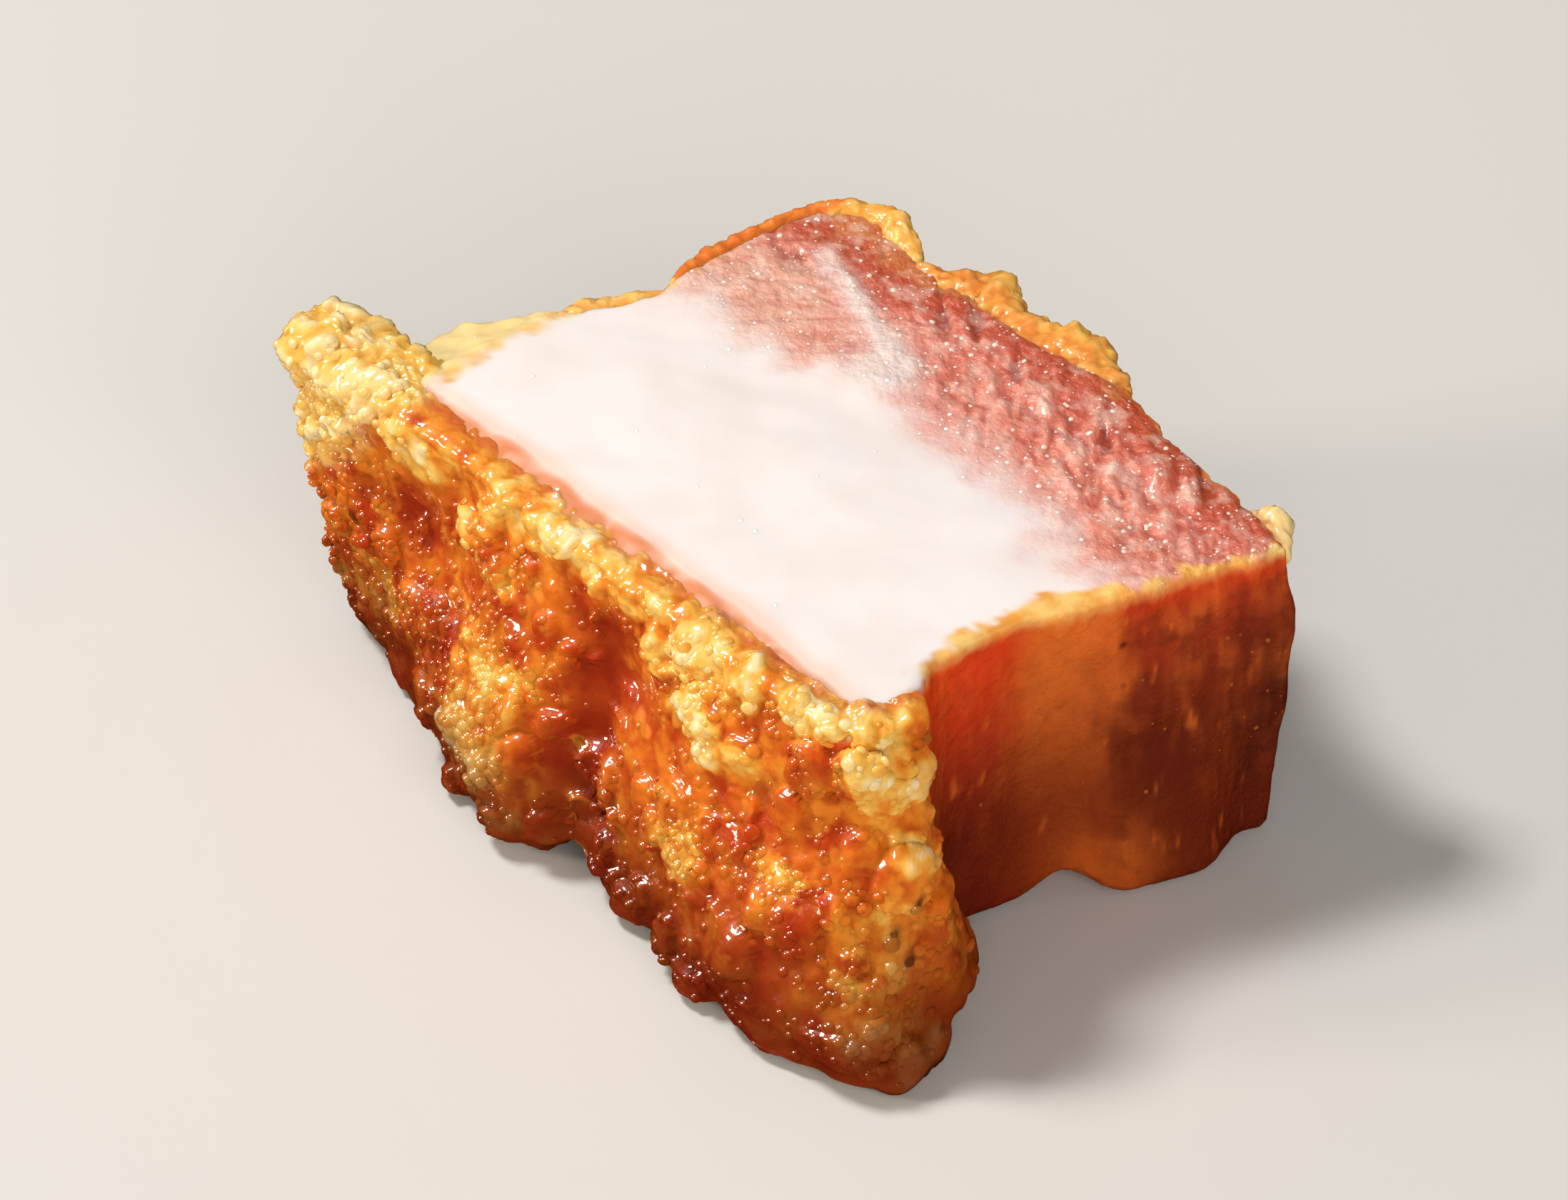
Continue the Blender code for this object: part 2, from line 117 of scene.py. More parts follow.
def rough(points, size, seed, layers=3):
    """Swells with finer swells on them: each layer has half the size and half the height."""
    return sum(swells(points, size / 2 ** k, seed + 97 * k) / 2 ** k for k in range(layers))


def puffs(points, size, seed, layers=3):
    """Crumbly foam from 0 to about 1.4: the swells folded upward, so that tops are round
    and creases sharp, with finer puffs on them."""
    return sum(np.abs(swells(points, size / 2.1 ** k, seed + 89 * k)) / 2 ** k
               for k in range(layers))


def ease(x, start, end):
    """0 before start, 1 after end, smooth between."""
    t = np.clip((x - start) / (end - start), 0, 1)
    return t * t * (3 - 2 * t)


def bump(x, centre, half):
    """Bell of height 1 round the centre."""
    return np.exp(-((x - centre) / half) ** 2)


def along(points, direction, stretch):
    """The points squeezed by stretch along a level direction, so that noise read at them
    is drawn out that way like muscle fibres."""
    way = np.array([*direction, 0.0]) / np.hypot(*direction)
    return points - way * (points @ way)[:, None] * (1 - 1 / stretch)


def right_side(y, h):
    """Right side: a line that widens to the back, hollow where the fat shrank, flared at
    the foot of the lean, tucked in at the foot of the back corner, which swells above, and
    drawn out to the crackling at the front."""
    corner = ease(y, *CORNER_SPAN)
    x = SIDE_AT_ZERO + SIDE_LEAN * y - SHRINK * bump(y, *SHRINK_AT)
    x = x + (1 - h) ** 2 * (FLARE * ease(y, *FLARE_SPAN) - TUCK * corner)
    return x + SWELL * corner * bump(h, *SWELL_AT) + WING * ease(-y, *WING_SPAN)


def left_side(y, h):
    """Left side: upright, with a golden web drawn out to the end of the crackling."""
    web = ease(-y, *WEB_SPAN) * (WEB_FOOT + (1 - WEB_FOOT) * h ** 1.5)
    return FAT_LEFT + STEP_IN * ease(y, *STEP_SPAN) - WEB * web - FAT_SPREAD * (1 - h)


def back_side(x, h):
    """Outer side of the lean: two swellings, drawn back at the right and at the foot."""
    y = LEAN_BACK
    for size, middle, half in BACK_SWELLS:
        y = y + size * bump(x, middle, half)
    return y - BACK_STEP * ease(x, *BACK_SPAN) - BACK_TUCK * (1 - h) ** 2


def layer_line(x, h):
    """Line between fat and lean, seen from above: it steps back by mid length, and waves
    more toward the foot."""
    y = LAYER_LINE - LINE_LEFT + LINE_STEP * ease(x, *LINE_SPAN)
    y = y - LINE_RETURN * ease(x, *RETURN_SPAN)
    wave = np.sin(2 * np.pi * (x / LINE_WAVE_LENGTH + h * LINE_TWIST))
    return y + LINE_WAVE * wave * (1 - h)


def underside(x, y):
    """Lower face: shallow hollows between flat places that touch the board."""
    level = np.stack([x, y, np.zeros_like(x)], -1)
    hollow = DENT * noise(level, DENT_SIZE, SEED + 20) - DENT_FLOOR
    return np.clip(hollow, 0, None) + NOTCH * bump(x, *NOTCH_X) * bump(y, *NOTCH_Y)


def cube_skin(cuts):
    """Closed skin of a unit cube, cut along each axis at the given shares. Every side is a
    grid of whole-number places, and equal places are one vertex. Gives shares and quads."""
    counts = [len(c) for c in cuts]
    quads = []
    for axis in range(3):
        b, c = (axis + 1) % 3, (axis + 2) % 3
        for side in (0, counts[axis] - 1):
            cell = [None] * 3
            cell[axis] = np.full((counts[b], counts[c]), side)
            cell[b], cell[c] = np.meshgrid(np.arange(counts[b]), np.arange(counts[c]),
                                           indexing="ij")
            key = np.ravel_multi_index(cell, counts)
            ring = [key[:-1, :-1], key[1:, :-1], key[1:, 1:], key[:-1, 1:]]
            quads.append(np.stack(ring[::1 if side else -1], -1).reshape(-1, 4))
    keys, flat = np.unique(np.concatenate(quads), return_inverse=True)
    place = np.unravel_index(keys, counts)
    return [cut[i] for cut, i in zip(cuts, place)], flat.reshape(-1, 4)


def uneven_cuts(count, low, high, finer):
    """Shares from 0 to 1 whose steps shrink by the factor finer between low and high."""
    t = np.linspace(0, 1, 2001)
    density = 1 + (finer - 1) * ease(t, low - 0.04, low) * (1 - ease(t, high, high + 0.04))
    total = np.concatenate([[0], np.cumsum((density[1:] + density[:-1]) / 2)])
    return np.interp(np.linspace(0, 1, count), total / total[-1], t)


def rounded(shares, size):
    """Shares of a box of the given size whose edges are rounded: what lies outside the
    core is drawn in to one radius round it."""
    place = np.stack(shares, -1) * size
    core = np.clip(place, EDGE_ROUND, np.array(size) - EDGE_ROUND)
    out = place - core
    reach = np.linalg.norm(out, axis=1, keepdims=True)
    place = core + out * EDGE_ROUND / np.maximum(reach, EDGE_ROUND)
    return (place / size).T


def normals(points, faces):
    """Unit normals: the cross products of the faces' diagonals, summed at each vertex."""
    a, b, c, d = (points[faces[:, k]] for k in range(4))
    across = np.cross(c - a, d - b)
    total = np.zeros_like(points)
    for k in range(4):
        np.add.at(total, faces[:, k], across)
    return total / np.maximum(np.linalg.norm(total, axis=1, keepdims=True), 1e-20)


def new_object(name, data):
    """Object with that data, in the scene."""
    item = bpy.data.objects.new(name, data)
    bpy.context.scene.collection.objects.link(item)
    return item


def new_piece(name, points, faces, masks, finish, nodes):
    """Smooth mesh object at the origin with one attribute for each mask. It rides on the
    chunk's body, stands for the given nodes and takes its finish from the slot."""
    mesh = bpy.data.meshes.new(name)
    mesh.from_pydata((points - MIDDLE).tolist(), [], faces.tolist(), shade_flat=False)
    for mask, values in masks.items():
        mesh.attributes.new(mask, "FLOAT", "POINT").data.foreach_set("value", values)
    mesh.materials.append(finish)
    piece = new_object(name, mesh)
    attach(piece, "root")
    if nodes:
        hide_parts(*nodes)


def new_finish(name, settings):
    """Principled material with the given sockets set."""
    mat = bpy.data.materials.new(name)
    mat.use_nodes = True
    for socket, value in settings.items():
        mat.node_tree.nodes["Principled BSDF"].inputs[socket].default_value = value
    return mat


def step(mat, kind, inputs, **options):
    """Node of the material with its inputs set, or joined to other nodes' outputs."""
    item = mat.node_tree.nodes.new(kind)
    for key, value in options.items():
        setattr(item, key, value)
    for key, value in inputs.items():
        if isinstance(value, bpy.types.NodeSocket):
            mat.node_tree.links.new(value, item.inputs[key])
        else:
            item.inputs[key].default_value = value
    return item


def mask(mat, name, strength=1.0):
    """The piece's attribute of that name, times a strength or another value."""
    value = step(mat, "ShaderNodeAttribute", {}, attribute_name=name).outputs["Fac"]
    return value if strength == 1.0 else combine(mat, "MULTIPLY", value, strength)


def mottle(mat, size, low=0.0, high=1.0, detail=2.0):
    """Noise of the given grain size in metres on Object coordinates, from low to high."""
    coords = step(mat, "ShaderNodeTexCoord", {}).outputs["Object"]
    grain = step(mat, "ShaderNodeTexNoise",
                 {"Vector": coords, "Scale": 1 / size, "Detail": detail})
    return between(mat, grain.outputs["Fac"], 0.3, 0.7, low, high)


def between(mat, value, start, end, low=0.0, high=1.0):
    """The value's share from start to end, eased, as a number from low to high."""
    return step(mat, "ShaderNodeMapRange",
                {"Value": value, "From Min": start, "From Max": end, "To Min": low,
                 "To Max": high}, interpolation_type="SMOOTHSTEP").outputs[0]


MIX_A, MIX_B, MIX_RESULT = 6, 7, 2  # colour sockets of the Mix node


def blend(mat, share, a, b):
    """Colour a where share is 0 and b where it is 1."""
    mixed = step(mat, "ShaderNodeMix", {0: share}, data_type="RGBA")
    for socket, colour in ((MIX_A, a), (MIX_B, b)):
        if isinstance(colour, bpy.types.NodeSocket):
            mat.node_tree.links.new(colour, mixed.inputs[socket])
        else:
            mixed.inputs[socket].default_value = (*colour, 1)
    return mixed.outputs[MIX_RESULT]


def combine(mat, kind, a, b):
    """Sum, product or other arithmetic of two values."""
    return step(mat, "ShaderNodeMath", {0: a, 1: b}, operation=kind).outputs[0]


def finish_with(mat, **sockets):
    """Joins the values to the shader's sockets."""
    shader = mat.node_tree.nodes["Principled BSDF"]
    for name, value in sockets.items():
        mat.node_tree.links.new(value, shader.inputs[name.replace("_", " ")])


LAYER_SHARE = 0.62  # share of the grid across the chunk that the fat takes
MEAT_SIZE = (0.050, 0.038, HEIGHT)
MEAT_CUTS = (232, 136, 40)  # cuts along x, y, z, finer at the lean and near the cut face


def meat_shape(u, v, w):
    """Fat and lean: left to right, front to back, board to cut. v reaches the layer line
    at LAYER_SHARE; the fat's top is a low dome and the lean's lies a little lower."""
    fat = np.clip(v / LAYER_SHARE, 0, 1)
    lean = np.clip((v - LAYER_SHARE) / (1 - LAYER_SHARE), 0, 1)
    y = FAT_FRONT + fat * (LAYER_LINE - FAT_FRONT) + lean * (LEAN_BACK - LAYER_LINE)
    lean_left = LEAN_LEFT + LEAN_TURN * ease(y, *LEAN_TURN_SPAN) - LEAN_SPREAD * (1 - w)
    left = left_side(y, w)
    left = left + (lean_left - left) * ease(y, *LEFT_JOIN)
    x = left + u * (right_side(y, w) - left)
    line = layer_line(x, w)
    front = FAT_FRONT - LIP * ease(w, *LIP_SPAN)
    y = front + fat * (line - front) + lean * (back_side(x, w) - line)
    dome = FAT_DOME * np.sin(np.pi * np.clip(u, 0, 1)) * (1 - ease(fat, 0.60, 1.0))
    top = HEIGHT - FAT_SINK + dome - WEB_SINK * ease(-x, *WEB_EDGE)
    top = top - (LEAN_SINK - FAT_SINK) * ease(lean, 0.0, 0.6)
    level = np.stack([x, y, np.zeros_like(x)], -1)
    dip = ease(-y + 0.0008 * rough(level, 0.0035, SEED + 31), *DIP_SPAN)
    top = top - dip * (DIP + DIP_UNEVEN * noise(level, 0.0030, SEED + 32))
    low = underside(x, y)
    return np.stack([x, y, low + w * (top - low)], -1)


shares, meat_faces = cube_skin((np.linspace(0, 1, MEAT_CUTS[0]),
                                uneven_cuts(MEAT_CUTS[1], 0.60, 0.98, 2.4),
                                uneven_cuts(MEAT_CUTS[2], 0.80, 1.00, 2.0)))
meat_flat = meat_shape(*rounded(shares, MEAT_SIZE))
x, y, z = meat_flat.T
up = normals(meat_flat, meat_faces)
cut_face = ease(up[:, 2], 0.35, 0.85)
past_line = y - layer_line(x, np.ones_like(x))
to_side = right_side(y, np.ones_like(x)) - x

# heights of the relief on the cut face, then on the browned sides
FIBRE_RISE, TORN_RISE, PUFF_RISE, SLIT_DEPTH = 0.00011, 0.00050, 0.00022, 0.00045
STREAK_RISE, FOLD_RISE, FAT_WAVE, FAT_GRAIN = 0.00020, 0.0006, 0.00016, 0.000018
FRIED_WAVE, FRIED_GRIT, FLUTE_RISE, SPOT_RISE = 0.00035, 0.00005, 0.00011, 0.00012
TOP_BAND_RISE, WEB_PUFF = 0.00060, 0.0005

# the lean's fibres run two ways: across its left part, and slanting on the right, where
# they are torn short
left_fibres = puffs(along(meat_flat, (0.65, 0.76), 6.0), 0.0013, 3, 2)
right_fibres = puffs(along(meat_flat, (0.75, -0.66), 2.8), 0.0016, 4, 2)
swirl = ease(rough(meat_flat, 0.0060, 5, 2) + (x + 0.001) / 0.006, -0.4, 0.4)
fibres = left_fibres + (right_fibres - left_fibres) * swirl
torn = ease(x, -0.0020, 0.0060) * bump(past_line, 0.0070, 0.0045)
lean_depth = ease(past_line + 0.0012 * rough(meat_flat, 0.0030, 6), -0.0012, 0.0034)
flush = ease(past_line + 0.0016 * rough(meat_flat, 0.0035, 6, 2) + 0.0002 * fibres,
             -0.0038, 0.0034)
seam = y - 0.0170 + 0.33 * (x + 0.0141) + 0.0006 * rough(meat_flat, 0.0030, 8)
streak = bump(seam, 0.0, 0.0011 + 0.0006 * ease(x, -0.0080, 0.0))
streak = streak * ease(x, -0.0160, -0.0135) * (1 - ease(x, -0.0010, 0.0020))
patch = bump(x, -0.0015, 0.0030) * bump(y, 0.0105, 0.0022)
streak = np.clip(streak + 0.9 * patch, 0, 1)
slits = ease(-swells(along(meat_flat, (0.75, -0.60), 3.0), 0.0018, 9), 0.30, 0.55)
slits = slits * ease(past_line, 0.0060, 0.0100) * (1 - streak)

rise = cut_face * lean_depth * (FIBRE_RISE + TORN_RISE * torn) * (fibres - 0.5)
rise = rise + cut_face * lean_depth * PUFF_RISE * (puffs(meat_flat, 0.0024, 7) - 0.6)
fold = bump(x, 0.0195, 0.0014) * bump(y, 0.0190, 0.0022)
rise = rise + cut_face * FOLD_RISE * fold
rise = rise - cut_face * (SLIT_DEPTH * slits * lean_depth - STREAK_RISE * streak)
rise = rise + cut_face * (1 - lean_depth) * FAT_WAVE * rough(meat_flat, 0.0075, 12, 2)
grain = along(meat_flat, (0.80, 0.45), 5.0)
rise = rise + cut_face * (1 - lean_depth) * FAT_GRAIN * noise(grain, 0.0011, 13)
browned = 1 - cut_face
upright = ease(z, 0.0, 0.0040) * (1 - np.abs(up[:, 2]))
flutes = swells(meat_flat * (1, 1, 0.15), 0.0016, 14)
flutes = flutes + 0.7 * swells(meat_flat * (1, 1, 0.25), 0.0007, 24)
pale_spots = ease(rough(meat_flat * (1, 1, 0.6), 0.0014, 25), 0.55, 1.00) * upright
pale_spots = pale_spots * (0.4 + 0.6 * (to_side < 0.003))
rise = rise + browned * (FRIED_WAVE * noise(meat_flat, 0.0040, 15)
                         + FRIED_GRIT * rough(meat_flat, 0.0011, 16))
rise = rise + upright * (FLUTE_RISE * flutes + SPOT_RISE * pale_spots)
top_rough = rough(meat_flat * (1, 1, 0.4), 0.0022, 26)
rise = rise + upright * ease(z, 0.0225, 0.0262) * TOP_BAND_RISE * top_rough
web = ease(-x, 0.0206, 0.0222) * ease(-y, -0.0010, 0.0030)
rise = rise + web * WEB_PUFF * puffs(meat_flat, 0.0024, 28)
rise = rise * ease(y, FAT_FRONT - LIP, FAT_FRONT)
meat_points = meat_flat + up * rise[:, None]
meat_points[:, 2] = np.maximum(meat_points[:, 2], 0.0)

to_left = x - np.where(past_line > 0, LEAN_LEFT, FAT_LEFT + STEP_IN * ease(y, *STEP_SPAN))
ragged = 0.0006 * rough(meat_flat, 0.0020, 17)
crust_wide = 0.0001 + 0.0013 * bump(y, 0.0035, 0.0035) + 0.0007 * bump(y, -0.0080, 0.0030)
crust_edge = 1 - ease(to_side + 2.0 * ragged - crust_wide, 0.0, 0.0010) * (cut_face > 0.2)
left_edge = 1 - ease(to_left + 1.6 * ragged, 0.0002, 0.0014) * (cut_face > 0.2)
back_edge = ease(past_line + 2 * ragged, 0.0118, 0.0132)
on_right = ease(x, 0.0, 0.0150)
meat_masks = {
    "lean": flush,
    # paler fibre tops: partly pale fibres, partly painted highlight
    "fleck_and_highlight": ease(fibres, 0.40, 0.90) * (0.25 + 0.75 * torn),
    # creases between the fibres: crimson meat and painted shade
    "crease_and_shade": (1 - ease(fibres, 0.10, 0.40)) * (0.4 + 0.6 * torn),
    "streak": streak,
    # slits: painted shade in the cracks
    "slit_shade": slits,
    "rosy": ease(past_line + 0.0012 * rough(meat_flat, 0.0025, 18), 0.0055, 0.0120),
    "edge": np.maximum(np.maximum(crust_edge, left_edge), back_edge * 0.2),
    "fried": browned,
    "redness": on_right * (1 - ease(y + 0.0012 * rough(meat_flat * (1, 1, 0.3), 0.004, 19),
                                    -0.0014, 0.0022)),
    "brown": ease(y + 0.0022 * rough(meat_flat * (1, 1, 0.5), 0.0040, 21), 0.0058, 0.0094),
    "char": bump(z, 0.0120, 0.0090)
            * ease(y + 0.0020 * rough(meat_flat, 0.0030, 22), 0.0150, 0.0195),
    "bulge": bump(y, 0.0065, 0.0035) * bump(z, 0.0030, 0.0035) * on_right,
    "outer": ease(past_line + 1.8 * ragged, 0.0084, 0.0116),
    "web": web,
    "spot": pale_spots,
    "flute": ease(flutes, -0.6, 0.9) * upright,
    "pale": ease(-x - 0.30 * y + 0.0015 * rough(meat_flat, 0.004, 27), -0.0040, 0.0100),
    "dot": bump(y, 0.0080, 0.0003) * bump(z, 0.0222, 0.0003) * (x > 0),
    "height": z / HEIGHT,
    "rind_line": 1 - ease(y + 0.0142 + 0.0005 * rough(meat_flat, 0.005, 23, 2), -0.0006, 0.0028),
}

FAT_WHITE, FAT_WARM = (0.86, 0.82, 0.81), (0.85, 0.77, 0.74)
RIND_PINK, RIND_LINE = (0.84, 0.58, 0.46), (0.70, 0.24, 0.10)
LEAN_PINK, LEAN_RED, LEAN_SLIT_SHADE = (0.76, 0.26, 0.19), (0.60, 0.12, 0.075), (0.30, 0.030, 0.016)
LEAN_OUTER, LEAN_PALE, LEAN_CRIMSON_AND_SHADE = (0.48, 0.08, 0.030), (0.79, 0.45, 0.34), (0.50, 0.08, 0.050)
# The pale fibre colour is partly the meat's own, partly painted highlight on the flakes.
FIBRE_PALE_AND_HIGHLIGHT = (0.90, 0.66, 0.55)
EDGE_GOLD, EDGE_AMBER, WEB_YELLOW = (0.88, 0.60, 0.20), (0.80, 0.36, 0.06), (0.90, 0.70, 0.32)
# The right side's colours come in pairs: the first, at the top, is brightened as a painted glow
# of light, and the second, toward the board, is painted shade.
FRIED_TAN, FRIED_TAN_PAINTED_SHADE = (0.80, 0.165, 0.014), (0.22, 0.024, 0.003)
FRIED_RED_AND_GLOW, FRIED_RED_PAINTED_SHADE = (0.86, 0.060, 0.004), (0.16, 0.012, 0.003)
FRIED_BROWN, FRIED_BROWN_SHADE_AND_BLOTCH = (0.49, 0.045, 0.006), (0.15, 0.015, 0.003)
FRIED_CHAR = (0.07, 0.011, 0.005)

meat = new_finish("fat and lean", {
    "Roughness": 0.42, "Subsurface Weight": 0.55, "Subsurface Scale": 0.0016,
    "Subsurface Radius": (1.0, 0.55, 0.42), "Coat Weight": 0.35, "Coat Roughness": 0.12,
    "IOR": 1.42})
white = blend(meat, mottle(meat, 0.0060), FAT_WHITE, FAT_WARM)
white = blend(meat, between(meat, mask(meat, "rind_line"), 0.0, 0.9, 0.0, 0.8), white, RIND_PINK)
white = blend(meat, between(meat, mask(meat, "rind_line"), 0.75, 1.0), white, RIND_LINE)
pink = blend(meat, mask(meat, "pale", 0.75), LEAN_PINK, LEAN_PALE)
pink = blend(meat, mask(meat, "rosy"), pink, LEAN_RED)
# Creases between the fibres darker: partly crimson meat, partly painted shade.
pink = blend(meat, mask(meat, "crease_and_shade", 0.7), pink, LEAN_CRIMSON_AND_SHADE)
# Fibre tops lighter: partly pale fibres, partly a painted highlight on the flakes.
pink = blend(meat, mask(meat, "fleck_and_highlight", mottle(meat, 0.0013, 0.15, 1.0)), pink, FIBRE_PALE_AND_HIGHLIGHT)
pink = blend(meat, mask(meat, "streak", 0.8), pink, FAT_WARM)
# Painted shade in the slits that the relief cuts into the lean.
pink = blend(meat, mask(meat, "slit_shade", 0.7), pink, LEAN_SLIT_SHADE)
pink = blend(meat, mask(meat, "outer", mottle(meat, 0.0014, 0.35, 1.0)), pink, LEAN_OUTER)
pink = blend(meat, mottle(meat, 0.0019, -0.35, 0.42, detail=3.0), pink, FIBRE_PALE_AND_HIGHLIGHT)
bared = blend(meat, mask(meat, "lean"), white, pink)
golden = blend(meat, mottle(meat, 0.0018), EDGE_GOLD, EDGE_AMBER)
golden = blend(meat, mask(meat, "web"), golden, WEB_YELLOW)
bared = blend(meat, mask(meat, "edge"), bared, golden)
tall = mask(meat, "height")
# Up the right side each colour goes from painted shade at the board to a painted glow at the top.
tan = blend(meat, between(meat, tall, 0.15, 1.0), FRIED_TAN_PAINTED_SHADE, FRIED_TAN)
red = blend(meat, between(meat, tall, 0.30, 1.05), FRIED_RED_PAINTED_SHADE, FRIED_RED_AND_GLOW)
side = blend(meat, mask(meat, "redness"), tan, red)
brown = blend(meat, between(meat, tall, 0.45, 1.0), FRIED_BROWN_SHADE_AND_BLOTCH, FRIED_BROWN)
side = blend(meat, mask(meat, "brown"), side, brown)
side = blend(meat, mask(meat, "char", 0.85), side, FRIED_CHAR)
side = blend(meat, mask(meat, "bulge", 0.6), side, FRIED_TAN)
side = blend(meat, mask(meat, "flute", mottle(meat, 0.0040, 0.0, 0.65)), side, tan)
side = blend(meat, mask(meat, "spot", 0.55), side, FRIED_TAN)
# Random darker blotches over the brown zone, in the dark brown that also serves as painted shade
# at the foot.
dusk = combine(meat, "ADD", mask(meat, "brown", 0.7), 0.3)
dusk = combine(meat, "MULTIPLY", dusk, mottle(meat, 0.0026, -0.3, 0.6, detail=3.0))
side = blend(meat, dusk, side, FRIED_BROWN_SHADE_AND_BLOTCH)
# A painted red glow along the top of the brown zone.
top_band = mask(meat, "brown", between(meat, tall, 0.84, 1.0))
side = blend(meat, combine(meat, "MULTIPLY", top_band, 0.7), side, FRIED_RED_AND_GLOW)
side = blend(meat, mask(meat, "dot"), side, FRIED_CHAR)
side = blend(meat, mask(meat, "edge", between(meat, tall, 0.93, 0.995)), side, golden)
side = blend(meat, mask(meat, "web", between(meat, tall, 0.45, 0.95)), side, golden)
finish_with(meat, Base_Color=blend(meat, mask(meat, "fried"), bared, side))
finish_with(meat, Coat_Weight=between(meat, mask(meat, "rind_line"), 0.0, 0.5, 0.35, 0.0))
fine = mask(meat, "lean", mottle(meat, 0.0006))
grit = mask(meat, "fried", mottle(meat, 0.0009, detail=4.0))
fine = combine(meat, "MAXIMUM", fine, grit)
finish_with(meat, Normal=step(meat, "ShaderNodeBump", {
    "Height": fine, "Strength": 0.4, "Distance": 0.0003}).outputs[0])
new_piece("fat_and_lean", meat_points, meat_faces, meat_masks, meat,
          ("fat_with_crackling", "lean_meat"))

# ---- crackling ----
# The rind: pork skin that blistered in the hot oil into a glassy amber sheet with folds,
# golden foam on its rim and crests, and a pale spongy flap past the fat's left end.
RIND_LEFT_TOP, RIND_LEFT_FOOT = -0.0328, -0.0308
RIND_TOP_Y, RIND_FOOT_LEFT_Y, RIND_FLARE = -0.0176, -0.0156, 0.0068
RIND_TOP, RIND_INNER_Y, RIND_FLAP, RIND_CORE = 0.0266, -0.0115, 0.0014, 0.0018
CORNER_TOP, CORNER_FOOT = (0.0215, -0.0095, 0.0080), (0.0240, -0.0132, 0.0104)
CORNER_TURN, CORNER_TURN_FOOT = 88.0, 42.0
STRAIGHT_SHARE = 0.80
BUBBLE, BUBBLE_RISE = 0.0037, 0.55
# terms of the skin's line and faces, as above: a size, then where it acts
FLARE_ALONG, INTO_CORNER = (-0.0310, -0.0010), (0.0120, 0.0215)
FOOT_BULGE, FOOT_BULGE_AT, BELLY = 0.0008, (0.0090, 0.0040), 0.0008
CORNER_BULGE, CORNER_BULGE_AT = 0.0018, (np.radians(50), 0.40)
FLAP_SPAN, FLAP_RISE, FLAP_RISE_AT = (0.0230, 0.0330), 0.0005, (-0.0300, 0.0040)
END_LIFT, END_SPAN, ARCH, ARCH_AT = 0.0040, (0.90, 1.0), 0.0018, (0.0018, 0.0016)
FLAP_LIFT, FLAP_LIFT_SPAN = 0.0010, (0.0200, 0.0300)
END_ROUND, END_SHARE = 0.0022, 0.034  # the foot rises in a round at both ends
CALM_SHARE, CALM_SIZE, CALM_SPAN = 0.35, 0.0080, (-0.3, 0.3)
SKIN_ROUGH, SKIN_ROUGH_SIZE = 0.0006, 0.0050
RIM_CALM, RIM_SPAN = 0.45, (0.90, 1.0)
SPONGE, SPONGE_SPAN = 0.30, (0.0200, 0.0250)
# heights of its fine relief; all but the rim lies back by SKIN_SINK
CRUMB_RISE, FOAM_RISE, SPONGE_RISE, SPONGE_GRAIN = 0.00015, 0.00055, 0.00045, 0.00040
SKIN_SINK, HOLLOW_DEPTH, DOME_RISE = 0.0005, 0.0005, 0.30
# folds: run along the skin, height, half widths of both, rise
FOLDS = (
    (-0.0155, 0.0170, 0.0060, 0.0050, -0.0016), (-0.0075, 0.0060, 0.0070, 0.0055, 0.0017),
    (-0.0040, 0.0190, 0.0055, 0.0040, 0.0008), (0.0030, 0.0070, 0.0024, 0.0085, -0.0024),
    (0.0055, 0.0180, 0.0040, 0.0040, -0.0010), (0.0170, 0.0220, 0.0060, 0.0028, 0.0010),
    (0.0225, 0.0090, 0.0085, 0.0080, 0.0014), (0.0335, 0.0040, 0.0030, 0.0050, 0.0012),
)
# golden foam and glassy hollows: run, height, half widths of both, strength
FOAM = (
    (-0.0190, 0.0242, 0.0045, 0.0026, 1.0), (-0.0080, 0.0258, 0.0080, 0.0022, 1.0),
    (0.0020, 0.0262, 0.0060, 0.0022, 1.0), (0.0120, 0.0252, 0.0035, 0.0034, 1.0),
    (0.0165, 0.0205, 0.0040, 0.0022, 0.9), (0.0295, 0.0225, 0.0035, 0.0045, 0.8),
    (0.0240, 0.0262, 0.0080, 0.0014, 0.8), (-0.0080, 0.0080, 0.0040, 0.0040, 0.8),
    (-0.0060, 0.0142, 0.0040, 0.0018, 0.7), (-0.0095, 0.0205, 0.0028, 0.0018, 0.6),
    (0.0150, 0.0118, 0.0026, 0.0030, 0.6), (0.0245, 0.0138, 0.0032, 0.0014, 0.5),
    (0.0345, 0.0045, 0.0030, 0.0014, 0.7), (0.0340, 0.0140, 0.0022, 0.0090, 0.4),
    (-0.0240, 0.0060, 0.0060, 0.0060, 0.3), (0.0335, 0.0085, 0.0030, 0.0050, 0.5),
    (-0.0045, 0.0055, 0.0036, 0.0036, 0.5),
)
HOLLOWS = (
    (-0.0200, 0.0173, 0.0030, 0.0026, 1.0), (-0.0130, 0.0125, 0.0030, 0.0024, 1.0),
    (0.0005, 0.0215, 0.0040, 0.0018, 0.6), (0.0025, 0.0160, 0.0024, 0.0045, 1.0),
    (0.0020, 0.0090, 0.0022, 0.0040, 0.9), (0.0050, 0.0040, 0.0030, 0.0030, 0.8),
    (0.0212, 0.0188, 0.0034, 0.0016, 0.5), (0.0262, 0.0100, 0.0050, 0.0034, 0.7),
    (0.0220, 0.0025, 0.0070, 0.0024, 0.6),
)
